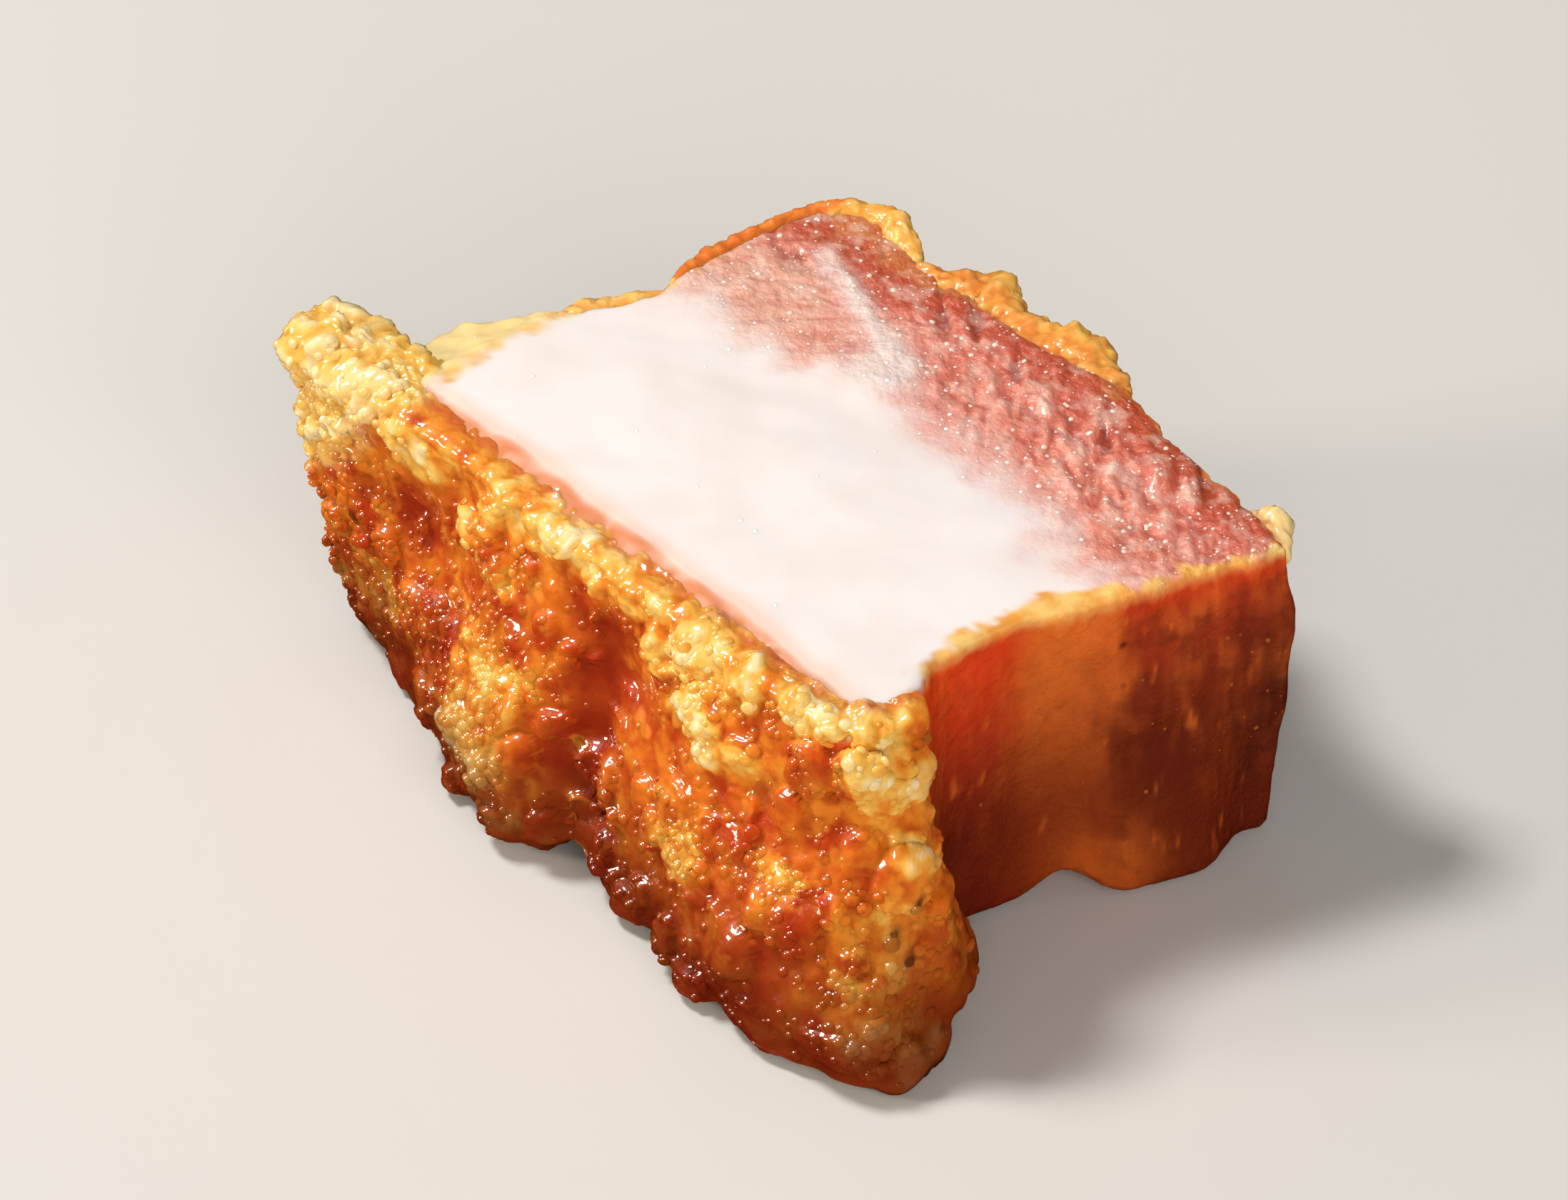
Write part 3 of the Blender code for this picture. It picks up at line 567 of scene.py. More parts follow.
# lumps: share along the skin, height share, radius
LUMPS = (
    (0.020, 0.93, 0.0026), (0.050, 0.97, 0.0024), (0.085, 0.93, 0.0020),
    (0.600, 0.85, 0.0022), (0.650, 0.92, 0.0027), (0.680, 0.81, 0.0023),
    (0.735, 0.94, 0.0021), (0.800, 0.98, 0.0014), (0.900, 0.89, 0.0020),
    (0.955, 0.80, 0.0021), (0.950, 0.60, 0.0019), (0.300, 0.80, 0.0018),
    (0.180, 0.93, 0.0019), (0.700, 0.72, 0.0016),
    (0.330, 0.30, 0.0019), (0.380, 0.24, 0.0016), (0.905, 0.05, 0.0024),
    (0.925, 0.03, 0.0020),
)
LUMP_SINK, LUMP_RISE = 0.62, 0.0013
SPECKS = ((0.0337, 0.0113), (0.0354, 0.0096), (0.0341, 0.0142), (-0.0255, 0.0140))


def bubbles(points, size, seed, least, spread, height):
    """Height of a crowd of bubbles, one at a random place in each cell: the highest wins.
    height gives one bubble's, from its radius and the squared distance to its middle."""
    place = points / size
    cell = np.floor(place).astype(np.int64)
    best = np.zeros(len(points))
    for move in itertools.product((-1, 0, 1), repeat=3):
        home = cell + move
        centre = home + np.stack([lattice(home, seed + k) for k in range(3)], -1)
        radius = least + spread * lattice(home, seed + 3)
        best = np.maximum(best, height(radius, ((place - centre) ** 2).sum(-1)))
    return best * size


def blisters(points, size, seed):
    """Crowd of balls, of height sqrt(r^2 - d^2)."""
    return bubbles(points, size, seed, 0.30, 0.40,
                   lambda r, away: np.sqrt(np.clip(r ** 2 - away, 0, None)))


def domes(points, size, seed):
    """Crowd of low domes, whose rims meet the skin at a slope: (r^2 - d^2) / r."""
    return bubbles(points, size, seed, 0.35, 0.45, lambda r, away: r - away / r)


def patches(run, z, table):
    """Sum of bells on the skin: one for each place of the table."""
    return sum(strength * bump(run, at, wide) * bump(z, up, tall)
               for at, up, wide, tall, strength in table)


def rind_path(s, h):
    """Outer line of the skin at height share h: nearly straight to the right corner, then
    an arc round it. Gives the place, the inner face behind it, the way out of the skin
    and the run along it."""
    foot = 1 - ease(h, 0.0, 1.0)
    start = RIND_LEFT_TOP + (RIND_LEFT_FOOT - RIND_LEFT_TOP) * (1 - h)
    centre_x, centre_y, radius = (
        top + (low - top) * foot for top, low in zip(CORNER_TOP, CORNER_FOOT))
    straight = np.clip(s / STRAIGHT_SHARE, 0, 1)
    x = start + straight * (centre_x - start)
    low_y = RIND_FOOT_LEFT_Y - RIND_FLARE * ease(x, *FLARE_ALONG)
    low_y = low_y + FOOT_BULGE * bump(x, *FOOT_BULGE_AT)
    y = RIND_TOP_Y + (low_y - RIND_TOP_Y) * foot - BELLY * np.sin(np.pi * h)
    y = y + (centre_y - radius - y) * ease(x, *INTO_CORNER)
    turn = np.radians(CORNER_TURN + CORNER_TURN_FOOT * (1 - h) ** 3)
    angle = turn * np.clip((s - STRAIGHT_SHARE) / (1 - STRAIGHT_SHARE), 0, 1)
    radius = radius + CORNER_BULGE * bump(angle, *CORNER_BULGE_AT) * (1 - h) ** 4
    on_arc = s > STRAIGHT_SHARE
    x = np.where(on_arc, centre_x + radius * np.sin(angle), x)
    y = np.where(on_arc, centre_y - radius * np.cos(angle), y)
    run = np.where(on_arc, centre_x + radius * angle, x)
    out = np.stack([np.sin(angle), -np.cos(angle), np.zeros_like(s)], -1)
    inner_x = np.where(on_arc, centre_x + RIND_CORE * np.sin(angle), x)
    inner_y = RIND_INNER_Y + RIND_CORE * (1 - np.cos(angle))
    inner_y = inner_y - RIND_FLAP * ease(-x, *FLAP_SPAN) * h
    return np.stack([x, y], -1), np.stack([inner_x, inner_y], -1), out, run


def rind_shape(u, w, h):
    """The puffed skin: the inner face is a plane in the fat, the outer face follows the
    skin's line, pushed out by its folds and large blisters. w runs from inner to outer.
    The foot arches off the board in places and is rounded up at both ends. Gives the
    places and the run along the skin."""
    outer, inner, out, run = rind_path(u, h)
    lift = END_LIFT * ease(u, *END_SPAN) + ARCH * bump(run, *ARCH_AT)
    lift = lift + FLAP_LIFT * ease(-run, *FLAP_LIFT_SPAN)
    end = np.clip(1 - np.minimum(u, 1 - u) / END_SHARE, 0, 1)
    lift = lift + END_ROUND * (1 - np.sqrt(1 - end ** 2))
    top = RIND_TOP + FLAP_RISE * bump(run, *FLAP_RISE_AT)
    z = lift + h * (top - lift)
    p = np.concatenate([outer, z[:, None]], -1)
    crowd = CALM_SHARE + (1 - CALM_SHARE) * ease(noise(p, CALM_SIZE, SEED + 8), *CALM_SPAN)
    rise = patches(run, z, FOLDS) + BUBBLE_RISE * crowd * blisters(p, BUBBLE, SEED + 5)
    rise = rise + SKIN_ROUGH * noise(p, SKIN_ROUGH_SIZE, SEED + 6)
    rise = rise * (1 - RIM_CALM * ease(h, *RIM_SPAN))
    inner = np.concatenate([inner, z[:, None]], -1)
    spongy = ease(-run, *SPONGE_SPAN)
    inner[:, 1] += SPONGE * spongy * blisters(inner, BUBBLE, SEED + 9)
    return inner + w[:, None] * (p + out * rise[:, None] - inner), run


def section_walk(counts):
    """Shares (w, h) once round the skin's section, which is a rounded rectangle: up the
    outer face, over the rim, down the inner face and back under the foot."""
    rim_w, rim_h = 0.22, 0.045
    outer, rim, inner, foot = counts
    turn = np.linspace(0, np.pi / 2, 8)[1:-1]
    w = [np.ones(outer), 1 - rim_w + rim_w * np.cos(turn), np.linspace(1 - rim_w, rim_w, rim),
         rim_w - rim_w * np.sin(turn), np.zeros(inner), rim_w - rim_w * np.cos(turn),
         np.linspace(rim_w, 1 - rim_w, foot), 1 - rim_w + rim_w * np.sin(turn)]
    h = [np.linspace(rim_h, 1 - rim_h, outer), 1 - rim_h + rim_h * np.sin(turn), np.ones(rim),
         1 - rim_h + rim_h * np.cos(turn), np.linspace(1 - rim_h, rim_h, inner),
         rim_h - rim_h * np.sin(turn), np.zeros(foot), rim_h - rim_h * np.cos(turn)]
    return np.concatenate(w), np.concatenate(h)


def tube_faces(rings, ring):
    """Quads of a closed tube of the given number of rings, and quads that close its ends,
    where the last ring is a narrow slit: they join its two sides."""
    i, j = np.meshgrid(np.arange(rings - 1), np.arange(ring), indexing="ij")
    k = (j + 1) % ring
    sides = np.stack([i * ring + j, (i + 1) * ring + j, (i + 1) * ring + k, i * ring + k], -1)
    sides = sides.reshape(-1, 4)
    n = np.arange(ring // 2 - 1)
    cap = np.stack([n, n + 1, ring - 2 - n, ring - 1 - n], -1)
    return np.concatenate([sides, cap, (rings - 1) * ring + cap[:, ::-1]])


walk_w, walk_h = section_walk((150, 36, 42, 10))
ring = len(walk_w)
END = 0.030  # share of the strip in which each end is rounded off
turn = np.linspace(0.02, np.pi / 2, 18)
body = np.linspace(END, 1 - END, 338)
strip = np.concatenate([END * (1 - np.cos(turn)), body[1:-1], 1 - END * (1 - np.cos(turn))[::-1]])
narrow = np.concatenate([np.sin(turn), np.ones(len(body) - 2), np.sin(turn)[::-1]])
u = np.repeat(strip, ring)
w = 0.5 + (walk_w[None] - 0.5) * narrow[:, None]
h = np.tile(walk_h, len(strip))
skin_flat, run = rind_shape(u, w.ravel(), h)
skin_faces = tube_faces(len(strip), ring)
x, y, z = skin_flat.T
up = normals(skin_flat, skin_faces)

foam = patches(run, z, FOAM) + 0.40 * rough(skin_flat, 0.0040, 41) - 0.08
spongy = ease(-run + 0.0015 * rough(skin_flat, 0.004, 42) - 0.9 * (0.0266 - z), 0.0185, 0.0220)
foam = np.clip(foam + 0.6 * spongy, 0, 1)
deep = np.clip(1.25 * patches(run, z, HOLLOWS) + 0.35 * rough(skin_flat, 0.0050, 43) - 0.05, 0, 1)
deep = deep * (1 - foam)
bent = skin_flat + 0.0005 * np.stack([rough(skin_flat, 0.0020, k, 2) for k in (51, 52, 53)], -1)
crumbs = puffs(bent, 0.0026, 44)
calm = 1 - 0.92 * deep
rise = (CRUMB_RISE + FOAM_RISE * foam + SPONGE_RISE * spongy) * crumbs * calm
rise = rise + SPONGE_GRAIN * spongy * puffs(bent, 0.0012, 64, 2)
rise = rise - SKIN_SINK * (1 - ease(up[:, 2], 0.3, 0.8)) - HOLLOW_DEPTH * deep
# the inner half lies in the fat and stays plain, but for the spongy flap at the left and
# the right end below the rim, which stand free
bared_inner = np.maximum(ease(-run, 0.0205, 0.0240), ease(u, 0.955, 0.985) * (h < 0.88))
shown = np.where(np.tile(walk_w < 0.5, len(strip)), bared_inner, 1)
shown = shown * np.repeat(ease(narrow, 0.0, 0.5), ring)
skin_points = skin_flat + up * (rise * shown)[:, None]

# lumps: uneven balls that swell the skin; it is pushed out along its normal to them
lump = np.zeros(len(skin_points))
uneven = 0.30 * rough(skin_points, 0.0013, 54, 2)
for s, tall, radius in LUMPS:
    at = np.array([[s], [1.0], [tall]])
    inward = -rind_path(at[0], at[2])[2][0] * LUMP_SINK * radius
    to_skin = skin_points - (rind_shape(*at)[0][0] + inward)
    ahead = np.maximum((to_skin * up).sum(-1), 0)
    depth = (radius * (1 + uneven)) ** 2 - (to_skin ** 2).sum(-1)
    lump = np.maximum(lump, np.where(depth > 0, np.sqrt(ahead ** 2 + np.abs(depth)) - ahead, 0))
lump = (shown * LUMP_RISE * np.tanh(lump / LUMP_RISE)).reshape(len(strip), ring)
for axis in (0, 1, 0, 1):
    lump = (2 * lump + np.roll(lump, 1, axis) + np.roll(lump, -1, axis)) / 4
lump = lump.ravel()
skin_points = skin_points + up * lump[:, None]
wander = np.stack([rough(skin_points, 0.0012, k, 2) for k in (55, 56, 57)], -1)
bent = skin_points + 0.0003 * wander
beads = domes(bent, 0.0014, 45)
crowded = ease(rough(skin_flat, 0.0035, 47, 2) + 0.3, 0.0, 0.8) * calm * (1 - 0.75 * foam)
bead_rise = DOME_RISE * crowded * beads * shown
skin_points = skin_points + normals(skin_points, skin_faces) * bead_rise[:, None]
skin_points[:, 2] = np.maximum(skin_points[:, 2], 0.0001)

# tips: high places of the crumbs and beads; the colour makes them paler, partly as a painted
# highlight.
tips = 0.75 * crumbs + 0.35 * beads / 0.0009
specks = sum(bump(run, at, 0.0004) * bump(z, tall, 0.0006) for at, tall in SPECKS)
skin_masks = {
    "foam": np.clip(foam + 0.8 * ease(lump, 0.0, 0.0008), 0, 1),
    "deep": deep * (1 - ease(lump, 0.0, 0.0006)),
    "spongy": spongy,
    "tips": np.clip(tips, 0, 1),
    "tan": ease(run + 0.001 * rough(skin_flat, 0.003, 49), 0.0310, 0.0340),
    "speck": np.clip(specks, 0, 1),
    # foot: painted shade on the crackling, darkest at the board
    "foot": 1 - ease(z + 0.0010 * rough(skin_flat, 0.003, 58), 0.0015, 0.0150),
    "seam": np.tile(bump(walk_w, 0.58, 0.12) * (walk_h > 0.9), len(strip)) * (1 - spongy),
}

SKIN_RED, SKIN_DARK, SKIN_AMBER = (0.54, 0.055, 0.005), (0.38, 0.027, 0.003), (0.79, 0.20, 0.012)
SKIN_ORANGE, SKIN_GOLD = (0.86, 0.28, 0.022), (0.93, 0.48, 0.07)
SKIN_YELLOW, SKIN_PALE = (1.0, 0.62, 0.16), (1.0, 0.79, 0.42)
# The foot colour here is painted shade near the board.
SKIN_TAN, SKIN_FOOT_SHADE, SKIN_CHAR = (0.70, 0.19, 0.025), (0.18, 0.013, 0.002), (0.14, 0.024, 0.006)
SKIN_SEAM = (0.66, 0.15, 0.04)

skin = new_finish("blistered crackling", {
    "Roughness": 0.38, "Specular IOR Level": 0.35,
    "Subsurface Scale": 0.0008, "Subsurface Radius": (1.0, 0.50, 0.25),
    "Coat Weight": 1.0, "Coat Roughness": 0.04, "Coat IOR": 2.0, "IOR": 1.45})
amber = blend(skin, mottle(skin, 0.0025), SKIN_AMBER, SKIN_RED)
amber = blend(skin, mask(skin, "deep"), amber, SKIN_DARK)
# Crumb and bead tops grow paler and the creases between them more orange: partly the foam's own
# colour, partly painted highlight on the tops and painted shade in the creases.
crest = between(skin, mask(skin, "tips"), 0.1, 0.9, 0.60, 1.30)
crest = mask(skin, "foam", crest)
crest = combine(skin, "ADD", crest, mottle(skin, 0.0019, -0.18, 0.34, detail=3.0))
crest = combine(skin, "SUBTRACT", crest, mask(skin, "deep", 0.25))
colour = blend(skin, between(skin, crest, 0.08, 0.48), amber, SKIN_ORANGE)
colour = blend(skin, between(skin, crest, 0.40, 0.80), colour, SKIN_GOLD)
colour = blend(skin, between(skin, crest, 0.70, 1.10), colour, SKIN_YELLOW)
colour = blend(skin, between(skin, crest, 1.00, 1.45), colour, SKIN_PALE)
colour = blend(skin, mask(skin, "tan", 0.35), colour,
               blend(skin, mottle(skin, 0.0020), SKIN_TAN, SKIN_AMBER))
# The flap's crevices are golden and its tops pale: partly the sponge's own colour, partly painted
# shade in the crevices and painted highlight on the tops.
sponge = blend(skin, between(skin, mask(skin, "tips"), 0.05, 0.45), SKIN_GOLD, SKIN_YELLOW)
sponge = blend(skin, between(skin, mask(skin, "tips"), 0.35, 0.9), sponge, SKIN_PALE)
sponge = blend(skin, mottle(skin, 0.0030, -0.5, 0.5), sponge, SKIN_GOLD)
colour = blend(skin, mask(skin, "spongy"), colour, sponge)
# Painted shade at the crackling's foot, toward the board.
colour = blend(skin, mask(skin, "foot", 0.90), colour, SKIN_FOOT_SHADE)
colour = blend(skin, mask(skin, "seam", mottle(skin, 0.0020, 0.3, 0.9)), colour, SKIN_SEAM)
finish_with(skin, Base_Color=blend(skin, mask(skin, "speck"), colour, SKIN_CHAR))
airy = combine(skin, "MAXIMUM", mask(skin, "foam"), mask(skin, "spongy"))
finish_with(skin, Subsurface_Weight=between(skin, airy, 0.1, 0.8, 0.75, 0.15))
finish_with(skin, Normal=step(skin, "ShaderNodeBump", {
    "Height": mottle(skin, 0.00040, detail=3.0), "Strength": 0.20,
    "Distance": 0.00015}).outputs[0])
new_piece("crackling", skin_points, skin_faces, skin_masks, skin,
          ("fat_with_crackling",))

# ---- blisters ----
# Small glassy bubbles of skin that stand on the crackling in swarms, each catching a glint.
SWARMS = (
    (-0.0065, 0.0145, 0.0050, 0.0026, 1.0), (-0.0095, 0.0205, 0.0034, 0.0022, 0.9),
    (0.0145, 0.0115, 0.0030, 0.0036, 1.0), (0.0245, 0.0138, 0.0050, 0.0020, 1.0),
    (-0.0085, 0.0085, 0.0045, 0.0040, 0.8), (-0.0250, 0.0160, 0.0040, 0.0060, 0.8),
    (-0.0180, 0.0120, 0.0040, 0.0040, 0.5), (0.0320, 0.0080, 0.0040, 0.0030, 0.5),
    (0.0200, 0.0022, 0.0060, 0.0016, 0.6), (0.0130, 0.0235, 0.0060, 0.0030, 0.6),
    (0.0270, 0.0235, 0.0050, 0.0030, 0.6), (0.0050, 0.0080, 0.0020, 0.0040, 0.6),
    (-0.0290, 0.0240, 0.0050, 0.0040, 0.5), (0.0345, 0.0070, 0.0040, 0.0060, 0.7),
)
BLISTER_COUNT = 1750
BLISTER_SMALL, BLISTER_MORE, BLISTER_SINK, BLISTER_SQUASH = 0.00022, 0.00040, 0.18, 0.58
draw = np.random.default_rng(SEED)
skin_up = normals(skin_points, skin_faces)
swarm = patches(run, z, SWARMS) + 0.30 * ease(noise(skin_flat, 0.0035, 61), 0.2, 0.7) + 0.04
swarm = np.where(np.tile(walk_w > 0.75, len(strip)) & (z > 0.0012), swarm, 0)


def ball_crowd(centres, ups, radii, squash, seed):
    """Flattened balls, each a cube skin blown up to a sphere: squash is its height along
    the way up over its width. Gives points, faces and how many points a ball has."""
    share, faces = cube_skin((np.linspace(0, 1, 4),) * 3)
    ball = np.stack(share, -1) * 2 - 1
    ball = ball / np.linalg.norm(ball, axis=1, keepdims=True)
    ball = ball * (1 + 0.12 * noise(ball, 0.9, seed))[:, None]
    height = (ball @ ups.T).T[..., None] * ups[:, None]
    points = ball[None] + (squash - 1) * height
    points = centres[:, None] + points * radii[:, None, None]
    start = np.arange(len(centres))[:, None, None] * len(ball)
    return points.reshape(-1, 3), (faces[None] + start).reshape(-1, 4), len(ball)


chosen = draw.choice(len(skin_points), BLISTER_COUNT, replace=False, p=swarm / swarm.sum())
size = BLISTER_SMALL + BLISTER_MORE * draw.random(BLISTER_COUNT) ** 1.6
place = skin_points[chosen] - skin_up[chosen] * (BLISTER_SINK * size)[:, None]
place[:, 2] = np.maximum(place[:, 2], size)
blister_points, blister_faces, each = ball_crowd(place, skin_up[chosen], size,
                                                 BLISTER_SQUASH, 62)

blister_masks = {name: np.repeat(values[chosen], each) for name, values in skin_masks.items()}
blister_masks["tips"] = np.repeat(0.2 + 0.6 * draw.random(BLISTER_COUNT), each)
bubble = skin.copy()
bubble.name = "glassy blister"
bubble.node_tree.nodes["Principled BSDF"].inputs["Subsurface Scale"].default_value = 0.0002
new_piece("blisters", blister_points, blister_faces, blister_masks, bubble, ())

# ---- crisp crust ----
# Thin golden crust of fried juices: a ledge behind the lean, a rough rim round its
# back left corner, a crumb at the right corner and a thin line along the fat's left edge.
# rows: x, y, z, half width, half height
LEDGE = (
    (-0.0090, 0.0212, 0.0262, 0.0003, 0.0003), (-0.0062, 0.0222, 0.0258, 0.0010, 0.0006),
    (-0.0040, 0.0238, 0.0256, 0.0022, 0.0007), (-0.0016, 0.0232, 0.0250, 0.0016, 0.0008),
    (0.0014, 0.0232, 0.0250, 0.0015, 0.0008), (0.0038, 0.0242, 0.0252, 0.0020, 0.0009),
    (0.0064, 0.0243, 0.0253, 0.0020, 0.0008), (0.0092, 0.0237, 0.0252, 0.0012, 0.0007),
    (0.0122, 0.0228, 0.0250, 0.0003, 0.0003),
)
CORNER_RIM = (
    (-0.0186, 0.0064, 0.0262, 0.0002, 0.0003), (-0.0194, 0.0088, 0.0262, 0.0005, 0.0005),
    (-0.0196, 0.0125, 0.0260, 0.0006, 0.0006), (-0.0192, 0.0165, 0.0262, 0.0005, 0.0006),
    (-0.0184, 0.0200, 0.0262, 0.0005, 0.0006), (-0.0166, 0.0222, 0.0263, 0.0006, 0.0006),
    (-0.0138, 0.0232, 0.0264, 0.0010, 0.0007), (-0.0112, 0.0226, 0.0261, 0.0008, 0.0005),
    (-0.0088, 0.0214, 0.0258, 0.0003, 0.0003),
)
CRUMB = (
    (0.0256, 0.0224, 0.0244, 0.0003, 0.0004), (0.0268, 0.0224, 0.0246, 0.0007, 0.0008),
    (0.0281, 0.0226, 0.0250, 0.0008, 0.0011), (0.0295, 0.0220, 0.0246, 0.0007, 0.0010),
    (0.0305, 0.0212, 0.0240, 0.0003, 0.0004),
)
EDGE_LINE = (
    (-0.0222, -0.0090, 0.0256, 0.0002, 0.0002), (-0.0219, -0.0060, 0.0259, 0.0003, 0.0003),
    (-0.0214, -0.0025, 0.0260, 0.0007, 0.0005), (-0.0206, 0.0010, 0.0260, 0.0008, 0.0006),
    (-0.0195, 0.0038, 0.0260, 0.0006, 0.0005), (-0.0184, 0.0062, 0.0260, 0.0002, 0.0002),
)
CRUST_RING, CRUST_STEP = 48, 0.00016
CRUST_TORN, CRUST_RELIEF = 0.40, 0.00034


def crust_strip(rows, seed):
    """Rough strip along the rows' line: an upright ellipse of the given half sizes is
    carried along it, its width torn by noise, then covered with small domes."""
    rows = np.array(rows)
    reach = np.concatenate([[0], np.cumsum(np.linalg.norm(np.diff(rows[:, :3], axis=0), axis=1))])
    rings = int(reach[-1] / CRUST_STEP)
    t = np.linspace(0, reach[-1], rings)
    line = np.stack([np.interp(t, reach, c) for c in rows.T], -1)
    soft = np.hanning(15) / np.hanning(15).sum()
    middle = np.stack([np.convolve(np.pad(c, 7, "edge"), soft, "valid") for c in line.T], -1)
    ahead = np.gradient(middle[:, :2], axis=0)
    ahead = ahead / np.linalg.norm(ahead, axis=1, keepdims=True)
    angle = np.linspace(0, 2 * np.pi, CRUST_RING, endpoint=False)
    wide, tall = np.cos(angle)[None, :, None], np.sin(angle)[None, :, None]
    across = np.concatenate([ahead[:, 1:], -ahead[:, :1], np.zeros((rings, 1))], -1)[:, None]
    points = middle[:, None, :3] + across * wide * middle[:, None, 3:4]
    points = points + np.array([0, 0, 1.0]) * tall * middle[:, None, 4:5]
    torn = 1 + CRUST_TORN * rough(points.reshape(-1, 3), 0.0020, seed).reshape(rings, -1, 1)
    points = middle[:, None, :3] + (points - middle[:, None, :3]) * torn
    points = points.reshape(-1, 3)
    faces = tube_faces(rings, CRUST_RING)
    way = normals(points, faces)
    relief = puffs(points, 0.0014, seed + 1)
    taper = np.repeat(np.clip(middle[:, 3] / 0.0008, 0.1, 1), CRUST_RING)
    return points + way * (CRUST_RELIEF * relief * taper)[:, None], faces, relief


crust_points, crust_faces, crust_tips, crust_red, crust_pale, count = [], [], [], [], [], 0
for rows, seed, red, pale in ((LEDGE, 71, 0.45, 0.0), (CORNER_RIM, 75, 0.15, 0.0),
                              (CRUMB, 79, 0.0, 0.6), (EDGE_LINE, 83, 0.1, 0.1)):
    points, faces, tips_here = crust_strip(rows, seed)
    crust_points.append(points)
    crust_faces.append(faces + count)
    crust_tips.append(tips_here)
    crust_red.append(red + 0.75 * ease(-points[:, 0], 0.0160, 0.0185) * (points[:, 1] > 0.0070))
    crust_pale.append(np.full(len(points), pale))
    count += len(points)
crust_points = np.concatenate(crust_points)
near_meat = 1 - ease(crust_points[:, 1] - back_side(crust_points[:, 0], np.ones(count)),
                     0.0002, 0.0032)
crust_masks = {"tips": np.clip(np.concatenate(crust_tips) - 0.05, 0, 1),
               "pale": np.concatenate(crust_pale),
               "red": np.clip(np.concatenate(crust_red) * (0.4 + near_meat), 0, 1)}

CRUST_YELLOW, CRUST_GOLD, CRUST_RED = (0.96, 0.66, 0.20), (0.91, 0.44, 0.06), (0.76, 0.20, 0.03)
CRUST_PALE = (0.95, 0.78, 0.42)
crust = new_finish("golden crust", {
    "Roughness": 0.4, "Specular IOR Level": 0.35, "Subsurface Weight": 0.5,
    "Subsurface Scale": 0.0006, "Subsurface Radius": (1.0, 0.5, 0.25),
    "Coat Weight": 0.8, "Coat Roughness": 0.05, "IOR": 1.45})
tone = blend(crust, mask(crust, "tips"), CRUST_GOLD, CRUST_YELLOW)
tone = blend(crust, combine(crust, "ADD", mask(crust, "red"), mottle(crust, 0.0010, -0.3, 0.3)),
             tone, CRUST_RED)
finish_with(crust, Base_Color=blend(crust, mask(crust, "pale"), tone, CRUST_PALE))
new_piece("crisp_crust", crust_points, np.concatenate(crust_faces), crust_masks, crust,
          ("lean_meat",))

# ---- fat droplets ----
# Tiny beads of melted fat that stand on the cut face and the right side and glint.
DROPLET_COUNT = 640
DROPLET_SMALL, DROPLET_MORE, DROPLET_SINK, DROPLET_SQUASH = 0.00008, 0.00017, 0.2, 0.5
SIDE_MIDDLE, SIDE_HALF = 0.0145, 0.0065  # heights of the right side that have beads
meat_up = normals(meat_points, meat_faces)
fried_side = (meat_up[:, 0] > 0.7) * (np.abs(meat_points[:, 2] - SIDE_MIDDLE) < SIDE_HALF)
wet = (cut_face > 0.9) * (0.06 + lean_depth) + 0.6 * fried_side
chosen = draw.choice(len(meat_points), DROPLET_COUNT, replace=False, p=wet / wet.sum())
size = DROPLET_SMALL + DROPLET_MORE * draw.random(DROPLET_COUNT) ** 3
place = meat_points[chosen] - meat_up[chosen] * (DROPLET_SINK * size)[:, None]
drop_points, drop_faces, each = ball_crowd(place, meat_up[chosen], size, DROPLET_SQUASH, 63)
drop_masks = {"lean": np.repeat(lean_depth[chosen], each),
              "fried": np.repeat(1.0 * fried_side[chosen], each)}
DROPLET_WHITE, DROPLET_PINK = (0.98, 0.96, 0.95), (0.92, 0.70, 0.60)
DROPLET_AMBER = (0.40, 0.08, 0.02)
droplet = new_finish("melted fat", {
    "Roughness": 0.2, "Specular IOR Level": 0.5, "Coat Weight": 1.0, "Coat Roughness": 0.02,
    "IOR": 1.45})
clear = blend(droplet, mask(droplet, "lean"), DROPLET_WHITE, DROPLET_PINK)
finish_with(droplet, Base_Color=blend(droplet, mask(droplet, "fried"), clear, DROPLET_AMBER))
new_piece("fat_droplets", drop_points, drop_faces, drop_masks, droplet, ())

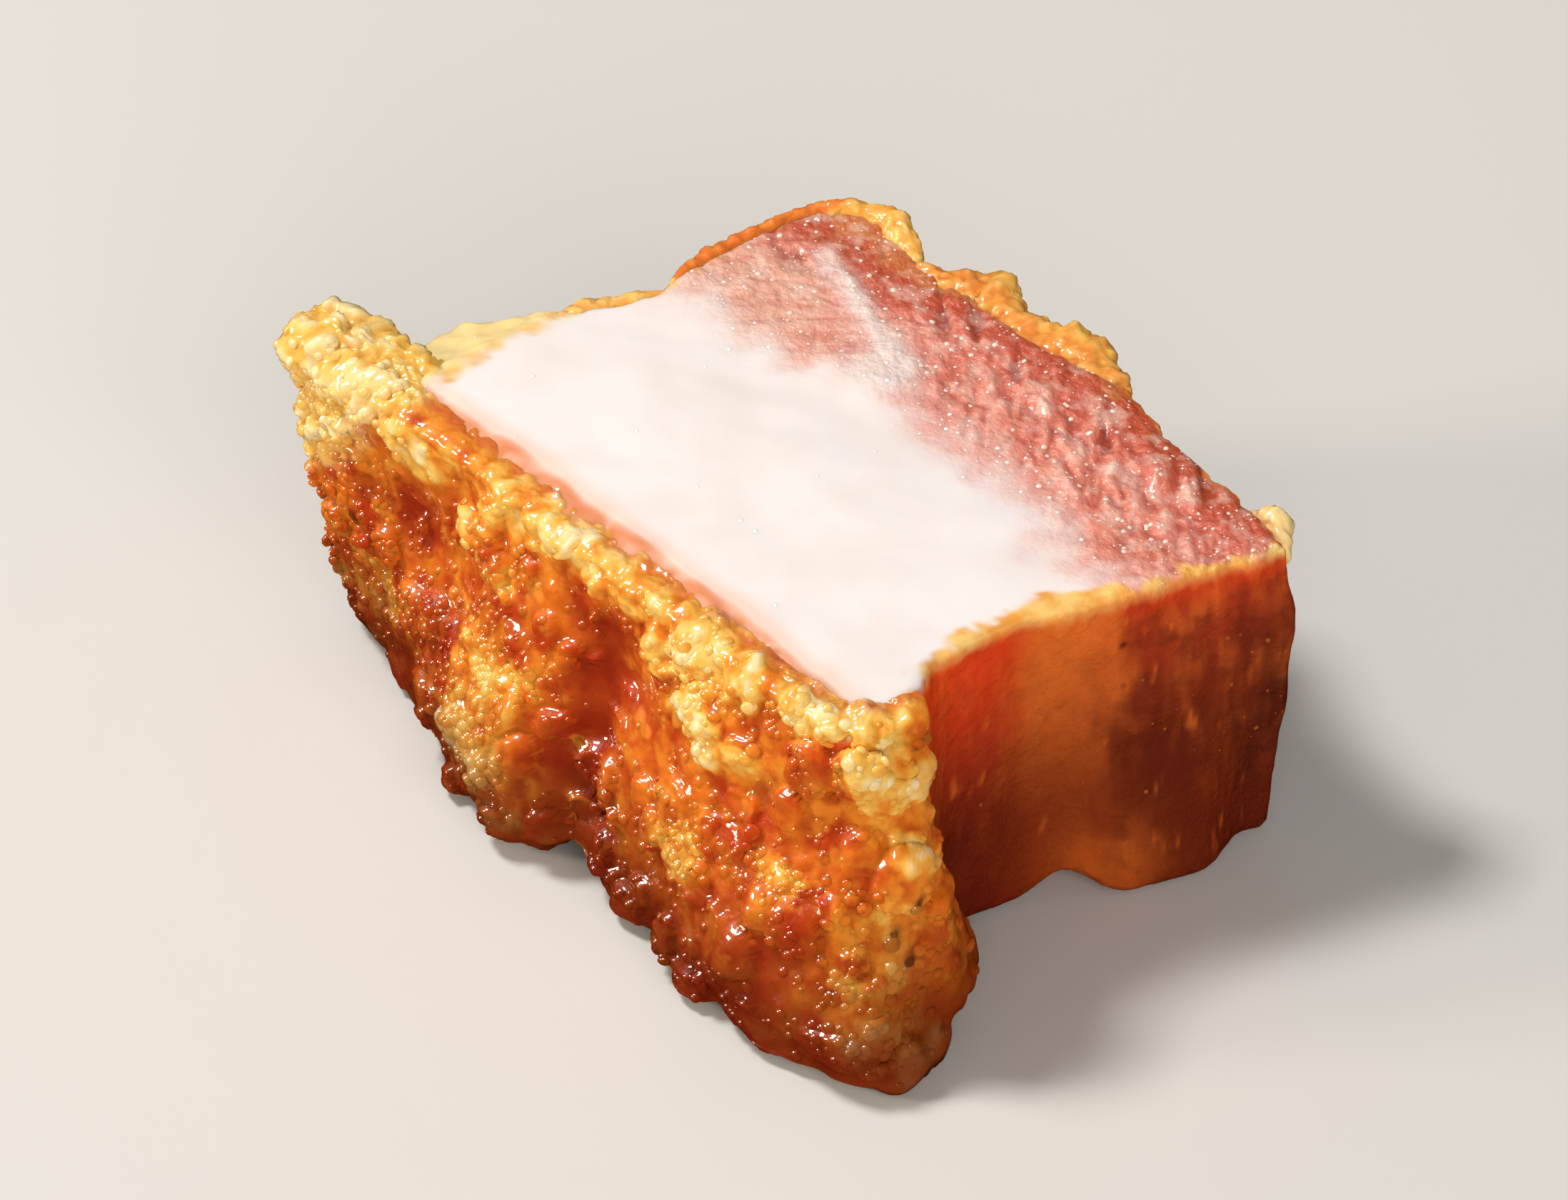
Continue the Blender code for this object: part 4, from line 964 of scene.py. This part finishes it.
# ---- stage ----
# A plain pale table under soft studio light, and a camera that looks as the photo does.
floor_mesh = bpy.data.meshes.new("table")
floor_mesh.from_pydata([(-2, -2, 0), (2, -2, 0), (2, 2, 0), (-2, 2, 0)], [], [(0, 1, 2, 3)])
floor = new_object("table", floor_mesh)
floor_mesh.materials.append(new_finish("pale table", {
    "Base Color": (0.66, 0.645, 0.62, 1), "Roughness": 0.6}))
floor.visible_glossy = False
LIGHT_AIM = Vector((0, 0, 0.012))


def aim(item, target, way, distance):
    """Puts the object at that distance from the target along the way, turned to it."""
    item.location = target + way * distance
    item.rotation_mode = "QUATERNION"
    item.rotation_quaternion = way.to_track_quat("Z", "Y")


def add_light(name, direction, distance, size, power, colour, glints=True):
    """Square area light at that distance and direction from the chunk, aimed at it. Only a
    light that makes glints is mirrored in the oil."""
    light = bpy.data.lights.new(name, "AREA")
    light.size = size
    light.energy = power
    light.color = colour
    lamp = new_object(name, light)
    aim(lamp, LIGHT_AIM, Vector(direction).normalized(), distance)
    lamp.visible_glossy = glints


add_light("window", (-0.45, -0.24, 0.87), 0.90, 0.19, 6.0, (1.0, 0.98, 0.96))
add_light("bounce", (0.85, -0.40, 0.42), 0.90, 0.70, 5.0, (1.0, 0.94, 0.88), False)
add_light("side fill", (-0.60, -0.85, 0.42), 0.90, 0.20, 3.3, (1.0, 0.86, 0.66))
world = bpy.data.worlds.new("studio")
world.use_nodes = True
world.node_tree.nodes["Background"].inputs["Color"].default_value = (1.0, 0.98, 0.96, 1)
world.node_tree.nodes["Background"].inputs["Strength"].default_value = 0.22
world.cycles_visibility.glossy = False
bpy.context.scene.world = world
bpy.context.scene.view_settings.view_transform = "Standard"

AZIMUTH, ELEVATION = math.radians(49.0), math.radians(40.5)
CAMERA_DISTANCE, CAMERA_AIM = 1.55, Vector((0, 0, 0.0125))
lens = bpy.data.cameras.new("camera")
lens.lens = 500.0            # millimetres, as is the sensor
lens.sensor_width = 36.0
camera = new_object("camera", lens)
back = Vector((math.sin(AZIMUTH) * math.cos(ELEVATION),
               -math.cos(AZIMUTH) * math.cos(ELEVATION), math.sin(ELEVATION)))
aim(camera, CAMERA_AIM, back, CAMERA_DISTANCE)
bpy.context.scene.camera = camera
